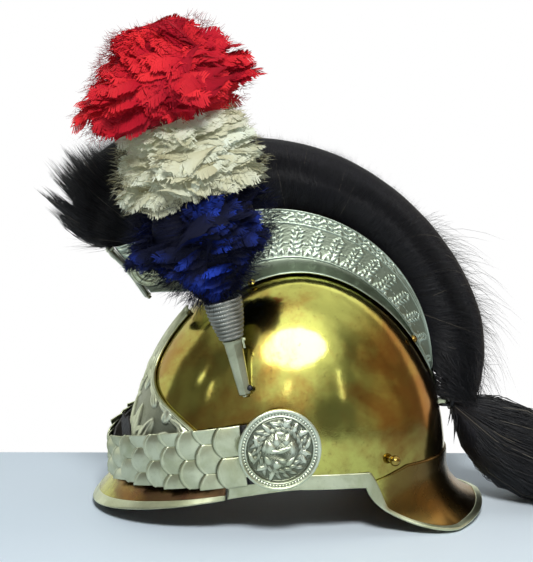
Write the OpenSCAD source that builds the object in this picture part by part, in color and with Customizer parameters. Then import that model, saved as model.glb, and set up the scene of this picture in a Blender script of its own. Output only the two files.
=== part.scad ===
// Parade helmet of a mounted gendarme: brass bowl, white-metal crest with a horsehair brush,
// tricolour plume in a side socket, scaled chin straps and a horsehair mane.
// X runs to the wearer's left, -Y to the front, +Z up. The origin is the centre of the head
// opening, in the plane of the bowl's lower edge.

/* [Bowl] */
// Outer width of the bowl, ear to ear
bowl_w = 194; // [186:1:200]
// Outer length of the bowl, brow to nape
bowl_l = 266; // [260:1:272]
// Height of the crown above the lower edge
bowl_h = 164; // [158:1:170]
// Depth of the widest section below the lower edge
bowl_drop = 9; // [6:1:12]
// Fullness of the sides, 2 is an ellipse
bowl_full = 2.4; // [2.0:0.1:2.8]
// Thickness of the brass sheet
sheet_t = 1.2; // [0.9:0.1:1.5]

/* [Visor and neck guard] */
// How far the visor stands out in front of the bowl
visor_out = 28.5; // [25:0.5:30]
// How far the visor's rim hangs below the lower edge
visor_down = 35; // [32:0.5:37]
// Angle from the front to where the visor ends on each side
visor_half = 63; // [58:1:66]
// Width of the white-metal edging at the tip of the visor
visor_edge_w = 8; // [5:0.5:10]
// How far the neck guard stands out behind the bowl
guard_out = 31; // [28:1:34]
// How far the neck guard's rim hangs below the lower edge
guard_down = 38; // [36:1:40]
// Angle from the back to where the neck guard's seam ends
guard_half = 66; // [62:1:70]
// Width of the edging round the neck guard
guard_edge_w = 4.5; // [3:0.5:6]
// Height of the white-metal band on the side rim
band_h = 11; // [8:0.5:14]
// Thickness of the white-metal trim
trim_t = 0.8; // [0.6:0.1:1.2]
// Gap between trim, plates and the sheet under them
seat_gap = 0.2; // [0.15:0.05:0.3]

/* [Front plate] */
// Half width of the foliage plate along the brow
plate_wide = 82; // [74:1:86]
// Half width of the strip that runs up to the crest
plate_narrow = 10; // [8:0.5:12]
// Height at which the plate narrows
plate_waist = 56; // [50:1:60]
// Height of the top of the strip
plate_top = 124; // [116:1:128]
// Thickness of the plate with its relief
plate_t = 2.2; // [1.5:0.1:2.6]

/* [Crest] */
// How far the crest's top line, an arc in side view, is wider than the bowl is long, on the radius
crest_over = 3; // [1:0.5:5]
// Place of that arc's centre, forward of the origin
crest_fwd = 19; // [17:1:21]
// Height of that arc's centre
crest_up = 73; // [72:0.5:75]
// Half width of the crest's foot on the bowl
foot_half = 35; // [32:1:38]
// Half width of the crest's top
crest_half = 12.5; // [11.5:0.5:14]
// Thickness of the crest's sheet
crest_t = 1; // [0.8:0.1:1.2]
// How far the crest's prow reaches forward past the arc
prow_reach = 29; // [26:1:32]
// Lowest point of the prow, forward of the origin
prow_tip_fwd = 119; // [116:1:123]
// Lowest point of the prow, above the lower edge
prow_tip_up = 139; // [136:1:143]
// Diameter of the studs on the crest's foot
stud_d = 7; // [5:0.5:8]

/* [Brush] */
// Rows of bristle tufts along the crest
brush_rows = 76; // [66:1:78]
// Tufts across the brush
brush_across = 5; // [4:1:5]
// Height of the brush at the top of the crest
brush_h = 58; // [48:1:64]
// Half width of the brush at its tips
brush_half = 19; // [16:0.5:21]
// Share of its cell that a tuft fills
tuft_fill = 0.74; // [0.6:0.02:0.8]
// Thickness of the slice that the tufts grow from
brush_slice = 1.4; // [1:0.1:1.8]

/* [Plume] */
// How far the plume's axis stands inside the bowl's widest line
plume_in = 10; // [8:0.5:11]
// Forward lean of the plume
plume_lean = 15; // [12:1:18]
// Height of the socket's mouth
mouth_z = 115; // [110:1:118]
// Place of the socket's mouth, forward of the origin
mouth_fwd = 59.5; // [56:0.5:62]
// Length of the socket
socket_l = 46; // [42:1:48]
// Width of the socket at its mouth
socket_w = 14; // [12:0.5:16]
// Diameter of the plume's stem
stem_d = 4; // [3:0.5:5]
// Clearance between stem and socket, on the radius
stem_gap = 0.25; // [0.2:0.05:0.4]
// Length of the ribbed tulip
tulip_l = 32; // [28:1:36]
// Diameter of the tulip's top
tulip_d = 29; // [26:0.5:32]
// Rings round the tulip
tulip_rings = 10; // [8:1:12]
// Length of the blue feathers along the stem
blue_l = 78; // [72:1:82]
// Length of the cream feathers along the stem
cream_l = 50; // [44:1:54]
// Length of the red feathers along the stem
red_l = 84; // [76:1:88]
// Half length, front to back, of the blue feathers
blue_r = 64; // [58:1:68]
// Half length, front to back, of the cream feathers
cream_r = 55; // [50:1:60]
// Half length, front to back, of the red feathers
red_r = 67; // [60:1:70]
// How far the red feathers' lower edge sits forward of the stem
red_fwd = 15; // [8:1:18]
// Sideways half width of the feathers, as a share of their half length
plume_flat = 0.74; // [0.66:0.02:0.78]

/* [Chin straps] */
// Diameter of the side rosettes
rosette_d = 64; // [60:1:68]
// Thickness of a rosette's rim
rosette_t = 3.6; // [3:0.2:4.4]
// Distance of the rosettes' centres forward of the origin
pivot_fwd = 22; // [20:1:24]
// Height of the rosettes' centres
pivot_z = 33; // [31:1:35]
// Diameter of the pivot posts
post_d = 5; // [4:0.5:6]
// Clearance round the pivot posts, on the radius
post_gap = 0.1; // [0.05:0.05:0.25]
// Distance of the strap leather from the bowl's widest line, at the rosettes
strap_out = 1.5; // [1:0.5:5]
// Distance of the strap leather in front of the bowl's longest line, at the brow
strap_front = 13; // [12:0.5:16]
// Rows of scales on each strap
rows = 10; // [8:1:10]
// Where the first row starts, forward of the rosette's centre
first_row = 26; // [24:1:28]
// Space left between the ends of the two straps
end_gap = 3; // [2:0.5:6]
// Thickness of the strap leather
leather_t = 1.5; // [1.2:0.1:1.8]
// Thickness of a scale
scale_t = 0.9; // [0.7:0.1:1.1]
// Gap between a scale and the next one under it
scale_gap = 0.3; // [0.25:0.05:0.4]
// Depth of the scales' rounded ends
lobe = 6; // [4.5:0.5:7]
// Width of the strap at the rosette
strap_wide = 49; // [44:1:50]
// Width of the strap at the brow
strap_narrow = 26; // [24:1:28]

/* [Mane] */
// How far the mane's tie stands inside the bowl's longest line
tie_in = 2; // [0:1:4]
// Height of the mane's tie
tie_z = 48; // [46:1:52]
// Length of the mane from its tie to its tip
mane_l = 262; // [230:2:290]
// Widest half height of the mane
mane_r = 34; // [28:1:36]

/* [Liner] */
// Height of the leather sweatband
liner_h = 36; // [30:1:40]
// Thickness of the liner's leather
liner_t = 1.6; // [1.2:0.1:2]
// Number of the liner's tongues
tongues = 8; // [6:1:10]
// Height of the tongues' ends
tongue_top = 112; // [104:1:116]

/* [Hidden] */
$fn = 48;
SIDES = ["left", "right"];
function two(n) = n < 10 ? str("0", n) : str(n);

brass = "goldenrod";
silver = "silver";
hair = "#15130f";
leather = "#1d1916";
hide = "#6b4a2c";

// Vector and grid helpers
function unit(v) = v / norm(v);
function mix(a, b, f) = a + (b - a) * f;
function clamp(x, lo, hi) = min(max(x, lo), hi);
function grid_normal(g, j, i, wrap) =
    let (n = len(g[0]), m = len(g),
         a = wrap ? g[j][(i + n - 1) % n] : g[j][max(i - 1, 0)],
         b = wrap ? g[j][(i + 1) % n] : g[j][min(i + 1, n - 1)],
         c = g[max(j - 1, 0)][i], d = g[min(j + 1, m - 1)][i])
    unit(cross(b - a, d - c));
function offset_grid(g, dist, wrap = false) =
    [for (j = [0:len(g) - 1]) [for (i = [0:len(g[0]) - 1])
        g[j][i] + dist * grid_normal(g, j, i, wrap)]];
function flat(rows_in) = [for (r = rows_in) each r];

// A sheet between two grids of points: row 0 is the lower edge, points run to the right as seen
// from outside
module sheet(outer, inner) {
    n = len(outer[0]);
    m = len(outer);
    k = n * m;
    quads = [for (j = [0:m - 2]) for (i = [0:n - 2])
        [j * n + i, (j + 1) * n + i, (j + 1) * n + i + 1, j * n + i + 1]];
    ends = concat(
        [for (i = [0:n - 2]) [i, i + 1, k + i + 1, k + i]],
        [for (i = [0:n - 2]) let (a = (m - 1) * n + i) [a, k + a, k + a + 1, a + 1]],
        [for (j = [0:m - 2]) let (a = j * n) [a, k + a, k + a + n, a + n]],
        [for (j = [0:m - 2]) let (a = (j + 1) * n - 1) [a, a + n, k + a + n, k + a]]);
    back = [for (q = quads) [k + q[3], k + q[2], k + q[1], k + q[0]]];
    faces = [for (q = concat(quads, back, ends)) each [[q[0], q[1], q[2]], [q[0], q[2], q[3]]]];
    polyhedron(concat(flat(outer), flat(inner)), faces);
}

// A solid through closed rings of points, with flat ends
module loft(rings) {
    n = len(rings[0]);
    m = len(rings);
    sides = [for (j = [0:m - 2]) for (i = [0:n - 1])
        let (a = j * n + i, b = j * n + (i + 1) % n) each [[a, b + n, b], [a, a + n, b + n]]];
    low = [for (i = [1:n - 2]) [0, i, i + 1]];
    high = [for (i = [1:n - 2]) [(m - 1) * n, (m - 1) * n + i + 1, (m - 1) * n + i]];
    polyhedron(flat(rings), concat(sides, low, high));
}

// Room for the flats of a curved sheet that lies over another
flats_gap = 0.35;

// Bowl surface: th is the plan angle from the front towards the left ear, z the height
half_w = bowl_w / 2;
half_l = bowl_l / 2;
crest_r = half_l + crest_over;
plume_x = half_w - plume_in;
strap_x = half_w + strap_out;
strap_fwd = half_l + strap_front;
tie_back = half_l - tie_in;
full_h = bowl_h + bowl_drop;
function rise(z, grow) = clamp((z + bowl_drop) / (full_h + grow), 0, 0.9999);
function width_at(z, grow) = (half_w + grow) * pow(1 - pow(rise(z, grow), bowl_full), 1 / bowl_full);
function length_at(z, grow) = (half_l + grow) * sqrt(1 - pow(rise(z, grow), 2));
function bowl_pt(th, z, grow = 0) =
    [width_at(z, grow) * sin(th), -length_at(z, grow) * cos(th), z];
function inside(p, grow) =
    p[2] + bowl_drop < full_h + grow
    && pow(p[0] / width_at(p[2], grow), 2) + pow(p[1] / length_at(p[2], grow), 2) < 1;
function leave(o, d, grow, lo, hi, steps = 16) =
    steps == 0 ? (lo + hi) / 2
    : let (mid = (lo + hi) / 2)
      inside(o + mid * d, grow) ? leave(o, d, grow, mid, hi, steps - 1)
      : leave(o, d, grow, lo, mid, steps - 1);
function side_x(y, z, grow) = leave([0, y, z], [1, 0, 0], grow, 0, half_w + 20);

bowl_sides = 44;
bowl_rings = 11;
function bowl_ring(f, grow) =
    let (a0 = asin(bowl_drop / (full_h + grow)), a = mix(a0, 88, f), z = (full_h + grow) * sin(a) - bowl_drop)
    [for (i = [0:bowl_sides - 1]) bowl_pt(360 * i / bowl_sides, z, grow)];

module bowl() {
    outer = [for (j = [0:bowl_rings]) bowl_ring(j / bowl_rings, 0)];
    inner = [for (j = [0:bowl_rings]) bowl_ring(j / bowl_rings, -sheet_t)];
    n = bowl_sides;
    m = bowl_rings + 1;
    k = n * m;
    walls = [for (j = [0:m - 2]) for (i = [0:n - 1])
        let (a = j * n + i, b = j * n + (i + 1) % n)
        each [[a, b + n, b], [a, a + n, b + n], [k + a, k + b, k + b + n],
              [k + a, k + b + n, k + a + n]]];
    edge = [for (i = [0:n - 1]) let (b = (i + 1) % n) each [[i, b, k + b], [i, k + b, k + i]]];
    top = [for (i = [1:n - 2]) each
        [[k - n, k - n + i + 1, k - n + i], [2 * k - n, 2 * k - n + i, 2 * k - n + i + 1]]];
    color(brass) polyhedron(flat(concat(outer, inner)), concat(walls, edge, top));
}

// Visor, from the left end to the right end of its root
visor_lap = 6;
visor_cols = 34;
visor_rows = 6;
visor_end_down = 11;
visor_bend = 0.05;
visor_round = 0.3;
function hook(a) = sqrt(a * a + visor_round * visor_round) - visor_round;
function visor_fall(th) = 1 - hook(th / visor_half) / hook(1);
function visor_rim_z(th) = -visor_end_down - (visor_down - visor_end_down) * visor_fall(th);
function visor_reach(th) = 1 + (visor_out - 1) * (1 - pow(abs(th) / visor_half, 1.9));
function out_dir(th) = unit([sin(th) * half_l, -cos(th) * half_w, 0]);
function visor_pt(th, v) =
    let (root = bowl_pt(th, 0, seat_gap), o = mix(v, sin(90 * v), visor_bend),
         d = mix(v, 1 - cos(90 * v), visor_bend))
    root + visor_reach(th) * o * out_dir(th) + [0, 0, visor_rim_z(th) * d];
visor_angles = [for (i = [0:visor_cols]) mix(-visor_half, visor_half, i / visor_cols)];
function visor_grid() =
    [for (j = [-visor_rows:1]) [for (th = visor_angles)
        j > 0 ? bowl_pt(th, visor_lap, seat_gap) : visor_pt(th, -j / visor_rows)]];

module visor() {
    g = visor_grid();
    color(brass) sheet(offset_grid(g, sheet_t), g);
}

lining_t = 1;
lining_cols = 20;
module visor_lining() {
    function lining_v(th) = 1 - (edging_back + 1) / norm(visor_pt(th, 1) - visor_pt(th, 0));
    g = [for (f = [1, 0.7, 0.4, 0.1]) [for (i = [0:lining_cols])
        let (th = mix(-0.95, 0.95, i / lining_cols) * visor_half) visor_pt(th, f * lining_v(th))]];
    color(leather) sheet(offset_grid(g, -seat_gap), offset_grid(g, -seat_gap - lining_t));
}

// A U-shaped edging over the rim of a sheet, from its inner flange round to its outer one: each
// flange has its own inward direction and normal
edging_back = 3;
function edging(r, in_dir, in_n, out_dir, out_n, w, t, extra) =
    let (o = t / 2 + seat_gap + extra, e = seat_gap + extra)
    [r - in_n * o + in_dir * min(w, edging_back), r - in_n * o - in_dir * e,
     r + out_n * o - out_dir * e, r + out_n * o + out_dir * w];
function turned(cols) = [for (j = [0:len(cols[0]) - 1]) [for (c = cols) c[j]]];

module visor_edge() {
    g = [for (v = [1, 0.94, 0.88]) [for (th = visor_angles) visor_pt(th, v)]];
    mid = offset_grid(g, sheet_t / 2);
    function profile(i, extra) =
        let (up = unit(mid[1][i] - mid[0][i]), n = grid_normal(g, 0, i, false))
        edging(mid[0][i], up, n, up, n, mix(edging_back, visor_edge_w, visor_fall(visor_angles[i])),
               sheet_t, extra);
    color(silver) sheet(turned([for (i = [0:visor_cols]) profile(i, trim_t)]),
                        turned([for (i = [0:visor_cols]) profile(i, 0)]));
}

// Neck guard, round the back from the right side to the left
guard_cols = 36;
guard_rows = 5;
guard_lap = 13;
dip_start = 68;
dip_full = 36;
dip_steep = 0.3;
rear_rise = 8;
guard_bend = 0.75;
function back_angle(th) = abs(180 - th);
function dip(th) = 0.5 + 0.5 * cos(180 * clamp((back_angle(th) - dip_full) / (dip_start - dip_full), 0, 1));
function guard_rim_z(th) =
    rear_rise * max(1 - back_angle(th) / dip_full, 0) - guard_down * pow(dip(th), dip_steep);
function guard_reach(th) = 0.6 + guard_out * pow(dip(th), 1.13);
function guard_top(th) = guard_lap * clamp((guard_half + 4 - back_angle(th)) / 20, 0.12, 1);
function guard_pt(th, v) =
    let (root = bowl_pt(th, 0, seat_gap))
    root + guard_reach(th) * mix(v, 1 - cos(90 * v), guard_bend) * out_dir(th)
    + [0, 0, guard_rim_z(th) * mix(v, sin(90 * v), guard_bend)];
guard_angles = [for (i = [0:guard_cols]) 180 + mix(-guard_half, guard_half, i / guard_cols)];
function guard_grid() =
    [for (j = [-guard_rows:1]) [for (th = guard_angles)
        j > 0 ? bowl_pt(th, guard_top(th), seat_gap) : guard_pt(th, -j / guard_rows)]];

module neck_guard() {
    g = guard_grid();
    color(brass) sheet(offset_grid(g, sheet_t), g);
}

// White-metal band on the side rim that runs on as an edging round the neck guard
band_cols = 64;
band_angles = [for (i = [0:band_cols]) mix(visor_half + 0.6, 360 - visor_half - 0.6, i / band_cols)];
function guard_inward(th) = unit(guard_pt(th, 0.9) - guard_pt(th, 1));
function guard_out_dir(th) =
    unit(cross(guard_pt(th + 1, 1) - guard_pt(th - 1, 1), guard_pt(th, 0.9) - guard_pt(th, 1)));
function over_guard(th) = clamp((guard_half + 8 - back_angle(th)) / 7, 0, 1);
function edging_only(th) = clamp((guard_half + 1 - back_angle(th)) / 7, 0, 1);
// In front the band hangs lower, down to the end of the visor
band_level = 88.7;
function front_dip(th) =
    visor_end_down * pow(clamp((band_level - 180 + back_angle(th)) / (band_level - visor_half), 0, 1), 1.4);
function band_rim(th) =
    mix(bowl_pt(th, 0, 0) + [0, 0, guard_rim_z(th) - front_dip(th)], guard_pt(th, 1), over_guard(th));
function band_edge(th) =
    mix(bowl_pt(th, band_h, 0), guard_pt(th, 1 - guard_edge_w / norm(guard_pt(th, 1) - guard_pt(th, 0))),
        edging_only(th));
function band_normal(th) =
    unit(cross(band_rim(th + 1) - band_rim(th - 1), band_edge(th) - band_rim(th)));

module rim_band() {
    function profile(th, extra) =
        let (n = band_normal(th), up = band_edge(th) - band_rim(th), f = over_guard(th))
        edging(band_rim(th) + mix(-1, 1, f) * n * sheet_t / 2, unit(mix(unit(up), guard_inward(th), f)),
               unit(mix(n, guard_out_dir(th), f)), unit(up), n, norm(up),
               sheet_t + mix(seat_gap, 2 * flats_gap, f), extra);
    color(silver) sheet(turned([for (th = band_angles) profile(th, trim_t)]),
                        turned([for (th = band_angles) profile(th, 0)]));
}

// Front plate with its strip up to the crest
plate_cols = 16;
plate_steps = 13;
plate_base = visor_lap + 1.5;
plate_soft = 10;
function plate_half(z) = mix(plate_narrow, plate_wide, 1 / (1 + exp((z - plate_waist) / plate_soft)));
function plate_angle(z) = asin(min(plate_half(z) / width_at(z, 0), 0.9));
module front_plate() {
    inner = [for (j = [0:plate_steps]) let (z = mix(plate_base, plate_top, j / plate_steps))
        [for (i = [0:plate_cols]) bowl_pt(mix(-1, 1, i / plate_cols) * plate_angle(z), z, 2 * flats_gap)]];
    color(silver) sheet(offset_grid(inner, plate_t), inner);
}

// Crest: a is the angle round the arc's centre, from the back up and over to the front
crest_cols = 24;
crest_a0 = 2;
crest_a1 = 142;
prow_a = 112;
crest_o = [0, -crest_fwd, crest_up];
function crest_dir(a) = [0, cos(a), sin(a)];
function top_r(a) = crest_r + prow_reach * pow(max(a - prow_a, 0) / (crest_a1 - prow_a), 2);
function top_pt(a) = crest_o + top_r(a) * crest_dir(a);
function prow_f(a) = clamp((a - prow_a) / (crest_a1 - prow_a), 0, 1);
function tail_f(a) = clamp((a - crest_a0) / 40, 0, 1);
tail_narrow = 0.62;
prow_more = 3;
function foot_x(a) =
    mix(foot_half * mix(tail_narrow, 1, sqrt(tail_f(a))), crest_half + prow_more, prow_f(a));
function on_bowl(a, x) =
    let (d = crest_dir(a), o = crest_o + [x, 0, 0])
    o + leave(o, d, 2 * seat_gap + crest_t, 0, crest_r - 1) * d;
function foot_pt(a) =
    let (x = foot_x(a), bowl_foot = on_bowl(min(a, prow_a), foot_x(min(a, prow_a))))
    a <= prow_a ? bowl_foot : mix(bowl_foot, [x, -prow_tip_fwd, prow_tip_up], prow_f(a));
function crest_top_x(a) = crest_half * mix(tail_narrow, 1, sqrt(tail_f(a)));
bead_f = 0.24;
bead_in = 0.72;
function flank_pt(a, v) =
    let (f = foot_pt(a), t = top_pt(a), x0 = f[0], x1 = crest_top_x(a), xb = mix(x0, x1, bead_in),
         x = v < bead_f ? mix(x0, xb, sin(90 * v / bead_f))
             : mix(xb, x1, pow((v - bead_f) / (1 - bead_f), 0.8)))
    [x, mix(f[1], t[1], v), mix(f[2], t[2], v)];
flank_v = [0, bead_f / 3, bead_f * 2 / 3, bead_f, 0.5, 0.78, 1];
function crest_angles() = [for (i = [0:crest_cols]) mix(crest_a1, crest_a0, i / crest_cols)];

module flank() {
    inner = [for (v = flank_v) [for (a = crest_angles()) flank_pt(a, v)]];
    color(silver) sheet(offset_grid(inner, crest_t), inner);
}
module crest_left() flank();
module crest_right() mirror([1, 0, 0]) flank();

// A strip across the crest between two depths under its top line
module crest_strip(lo, hi, narrow, a_lo = crest_a0, a_hi = crest_a1) {
    between = [for (a = crest_angles()) if (a > a_lo + 0.2 && a < a_hi - 0.2) a];
    rings = [for (a = concat([a_hi], between, [a_lo]))
        let (x = crest_top_x(a) - narrow, p = top_pt(a), d = crest_dir(a))
        [[x, 0, 0] + p + lo * d, [x, 0, 0] + p + hi * d, [-x, 0, 0] + p + hi * d, [-x, 0, 0] + p + lo * d]];
    loft(rings);
}
channel_t = 1.6;
channel_deep = 3;
backing_t = 2.4;
backing_lo = -channel_deep + 0.1;
// First angle at which something this deep under the top line clears the bowl
function clear_from(deep) =
    [for (a = [crest_a0:0.5:40]) if (norm(top_pt(a) - on_bowl(a, 0)) > deep) a][0];
module crest_channel() color(silver)
    crest_strip(-channel_deep - channel_t, -channel_deep, 0.1, clear_from(channel_deep + channel_t));
module brush_backing() color("saddlebrown")
    crest_strip(backing_lo, backing_lo + backing_t, 0.6, clear_from(-backing_lo), crest_a1 - 1);

// Brush of stiff horsehair tufts on a slice that sits on the backing
slice_lo = backing_lo + backing_t + 0.1;
brush_ref = 58;
brush_a0 = crest_a0 + 0.6;
brush_a1 = crest_a1 - 1;
brush_outline = [[-8, 47], [5, 52], [15, 53], [25, 51], [37, 49], [49, 49], [62, 51], [85, 58], [94, 61],
    [112, 86], [131, 116], [138, 115], [143, 92], [146, 70]];
function brush_len(a) = lookup(a, brush_outline) * brush_h / brush_ref;
brush_mid_a = 70;
brush_fan_back = 10;
brush_fan_fwd = 4;
function brush_tip_a(a) =
    let (f = (a - brush_mid_a) / brush_mid_a)
    a + (f < 0 ? -brush_fan_back * pow(-f, 1.6) : brush_fan_fwd * f);
function brush_base(a, x, up) =
    top_pt(a) + [x * (crest_top_x(a) - 0.8), 0, 0] + (slice_lo + up) * crest_dir(a);
function brush_tip(a, x) =
    let (e = brush_tip_a(a), r = crest_r + brush_len(e), round_off = 1 - 0.06 * x * x)
    crest_o + [x * brush_half * mix(0.85, 1.05, prow_f(a)), 0, 0] + r * round_off * crest_dir(e);
module brush() {
    nu = brush_rows;
    nv = brush_across;
    w = nv + 1;
    function pa(i) = mix(brush_a0, brush_a1, i / nu);
    function px(j) = mix(-1, 1, j / nv);
    lower = [for (i = [0:nu]) for (j = [0:nv]) brush_base(pa(i), px(j), 0)];
    upper = [for (i = [0:nu]) for (j = [0:nv]) brush_base(pa(i), px(j), brush_slice)];
    k = (nu + 1) * w;
    function cell(i, j, q) = [i + (q == 1 || q == 2 ? 1 : 0), j + (q >= 2 ? 1 : 0)];
    function pull(i, j, q, fill) =
        let (c = cell(i, j, q)) [mix(i + 0.5, c[0], fill), mix(j + 0.5, c[1], fill)];
    foot = [for (i = [0:nu - 1]) for (j = [0:nv - 1]) for (q = [0:3])
        let (s = pull(i, j, q, tuft_fill), a0 = upper[i * w + j], a1 = upper[(i + 1) * w + j],
             a2 = upper[(i + 1) * w + j + 1], a3 = upper[i * w + j + 1], u = s[0] - i, v = s[1] - j)
        mix(mix(a0, a1, u), mix(a3, a2, u), v)];
    tip = [for (i = [0:nu - 1]) for (j = [0:nv - 1]) for (q = [0:3])
        let (s = pull(i, j, q, tuft_fill))
        brush_tip(mix(brush_a0, brush_a1, s[0] / nu), mix(-1, 1, s[1] / nv))];
    under = [for (i = [0:nu - 1]) for (j = [0:nv - 1])
        let (a = i * w + j, b = (i + 1) * w + j) each [[a, a + 1, b + 1], [a, b + 1, b]]];
    tufts = [for (i = [0:nu - 1]) for (j = [0:nv - 1])
        let (o = 4 * (i * nv + j), f = 2 * k + o, t = f + 4 * nu * nv,
             c = [k + i * w + j, k + (i + 1) * w + j, k + (i + 1) * w + j + 1, k + i * w + j + 1])
        each concat(
            [for (q = [0:3]) let (r = (q + 1) % 4) each [[c[q], c[r], f + r], [c[q], f + r, f + q]]],
            [for (q = [0:3]) let (r = (q + 1) % 4) each [[f + q, f + r, t + r], [f + q, t + r, t + q]]],
            [[t, t + 1, t + 2], [t, t + 2, t + 3]])];
    walls = concat(
        [for (i = [0:nu - 1]) let (a = i * w, b = a + w) each [[a, b, k + b], [a, k + b, k + a]]],
        [for (i = [0:nu - 1]) let (a = i * w + nv, b = a + w) each [[a, k + b, b], [a, k + a, k + b]]],
        [for (j = [0:nv - 1]) each [[j, k + j + 1, j + 1], [j, k + j, k + j + 1]]],
        [for (j = [0:nv - 1]) let (a = nu * w + j) each [[a, a + 1, k + a + 1], [a, k + a + 1, k + a]]]);
    color(hair) polyhedron(concat(lower, upper, foot, tip), concat(under, tufts, walls));
}

// Prow: its floor and the scroll ornament that closes its front
mask_top = top_pt(crest_a1);
mask_low = [0, -prow_tip_fwd, prow_tip_up];
mask_w = 2 * (crest_half + 4.6);
volute_d = 31;
volute_t = 2.4;
volute_rings = 4;
ridge_r = 1.2;
volute_y = mix(mask_top[1], mask_low[1], 0.5) + 12.5;
volute_z = mix(mask_top[2], mask_low[2], 0.5) + 3;
module crest_prow_floor() {
    rings = [for (i = [0:6])
        let (a = mix(prow_a, crest_a1, mix(0.42, 0.97, i / 6)), p = flank_pt(a, 0.03) - [seat_gap, 0, 0],
             q = flank_pt(a, 0.075) - [seat_gap, 0, 0])
        [p, q, [-q[0], q[1], q[2]], [-p[0], p[1], p[2]]]];
    color(silver) loft(rings);
}
module crest_mask() {
    y1 = mask_top[1];
    z1 = mask_top[2];
    y0 = mask_low[1];
    z0 = mask_low[2];
    color(silver) {
        translate([-mask_w / 2, 0, 0]) rotate([90, 0, 90]) linear_extrude(mask_w) polygon([
            [y1 - 1.6, z1 + 1], [y1 - 5, z1 - 2], [y1 - 1, z1 - 7],
            [mix(y1, y0, 0.4) - 4.5, mix(z1, z0, 0.4)], [mix(y1, y0, 0.7) - 4.5, mix(z1, z0, 0.7)],
            [y0 - 3, z0 - 4], [y0 - 0.8, z0 - 6.5], [y0 - 0.8, z0]]);
        for (s = [-1, 1]) translate([s * (mask_w / 2 - 0.4), volute_y, volute_z]) rotate([0, s * 90, 0])
            rotate_extrude() union() {
                square([volute_d / 2 - ridge_r, volute_t - ridge_r]);
                for (i = [1:volute_rings])
                    translate([i * (volute_d / 2 - ridge_r) / volute_rings, volute_t - ridge_r])
                        circle(r = ridge_r, $fn = 24);
            }
    }
}

// Pointed finial at the crest's tail
tail_w = 9;
tail_t = 3;
module crest_tail() {
    z0 = foot_pt(crest_a0)[2] - 1;
    z1 = tie_z + pin_h / 2 + 1.5;
    rings = [for (f = [0:0.2:1])
        let (z = mix(z0, z1, f), x = tail_w / 2 * (1 - 0.7 * f),
             p = bowl_pt(180, z, seat_gap + 0.1), q = bowl_pt(180, z, seat_gap + tail_t * (1 + 0.5 * f)))
        [p + [x, 0, 0], q + [x * 0.6, 0, 0], q - [x * 0.6, 0, 0], p - [x, 0, 0]]];
    color(silver) loft(rings);
}

// Studs that hold the crest's foot, with their nuts inside the bowl
stud_angles = [16, 105];
stud_seat = crest_t + flats_gap + 0.15;
function stud_pt(a) = on_bowl(a, foot_x(a));
function level(p) = pow(p[0] / width_at(p[2], 0), 2) + pow(p[1] / length_at(p[2], 0), 2);
function bowl_out(p) =
    unit([for (e = [[0.5, 0, 0], [0, 0.5, 0], [0, 0, 0.5]]) level(p + e) - level(p - e)]);
module along(d) {
    rotate([0, acos(d[2]), atan2(d[1], d[0])]) children();
}
module both() {
    children();
    mirror([1, 0, 0]) children();
}
module crest_studs() color(brass) both() for (a = stud_angles) {
    p = stud_pt(a);
    d = bowl_out(p);
    translate(p + stud_seat * d) along(d) rotate_extrude() intersection() {
        square([stud_d, stud_d]);
        translate([0, -0.6]) circle(d = stud_d);
    }
}
nut_t = 2.4;
module crest_nuts() color("darkgoldenrod") both() for (a = stud_angles) {
    p = stud_pt(a);
    d = bowl_out(p);
    translate(p - (crest_t + sheet_t + seat_gap + nut_t + 2 * flats_gap) * d) along(d)
        cylinder(d = stud_d, h = nut_t, $fn = 6);
}

// Ball-headed studs at the back of the bowl, one each side
ball_d = 8.5;
rear_back = 70;
rear_z = 19;
module rear_studs() color(brass) both() {
    p = [side_x(rear_back, rear_z, 0), rear_back, rear_z];
    d = bowl_out(p);
    translate(p + 0.15 * d) along(d) {
        cylinder(d1 = ball_d * 0.7, d2 = ball_d * 0.5, h = 2);
        translate([0, 0, 2 + ball_d * 0.35]) sphere(d = ball_d);
    }
}

// Plume: drawn along the stem, with the socket's mouth at zero
mouth = [plume_x, -mouth_fwd, mouth_z];
module on_stem() {
    translate(mouth) rotate([plume_lean, 0, 0]) children();
}
function stem_world(p) = mouth + [p[0], p[1] * cos(plume_lean) - p[2] * sin(plume_lean),
    p[1] * sin(plume_lean) + p[2] * cos(plume_lean)];
socket_back = 4.4;
socket_ridge = 5.4;
socket_taper = 0.64;
socket_thin = 0.86;
socket_flat = 0.62;
function socket_depth(z) = socket_back * mix(1, socket_taper, -z / socket_l);
function socket_ring(z) =
    let (w = socket_w / 2 * mix(1, socket_taper, -z / socket_l), d = mix(1, socket_thin, -z / socket_l))
    [[socket_ridge * d, 0, z], [socket_ridge * socket_flat * d, w, z], [0, w, z],
     [-socket_depth(z), w * socket_flat, z], [-socket_depth(z), -w * socket_flat, z], [0, -w, z],
     [socket_ridge * socket_flat * d, -w, z]];
module plume_socket() color(silver) on_stem() difference() {
    loft([socket_ring(-socket_l), socket_ring(0)]);
    translate([0, 0, -socket_l + 2]) cylinder(d = stem_d + 2 * stem_gap, h = socket_l);
}

// Web that carries the socket off the bowl
web_t = 3;
function web_x(z) = let (p = stem_world([0, 0, z])) side_x(p[1], p[2], seat_gap + 0.7) - plume_x;
module socket_bracket() color(silver) on_stem() {
    zs = [for (i = [0:6]) mix(-5, -0.8 * socket_l, i / 6)];
    rotate([90, 0, 0]) translate([0, 0, -web_t / 2]) linear_extrude(web_t) polygon(concat(
        [for (z = zs) [-socket_depth(z) - 0.02, z]],
        [for (i = [6:-1:0]) [web_x(zs[i]), zs[i]]]));
}
module plume_catch() color(silver) on_stem() {
    translate([-1.5, socket_w / 2 + 0.1, -9]) cube([3, 1.6, 8.4]);
    translate([0, socket_w / 2 + 1.8, -2.4]) sphere(d = 3.2);
}

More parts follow.
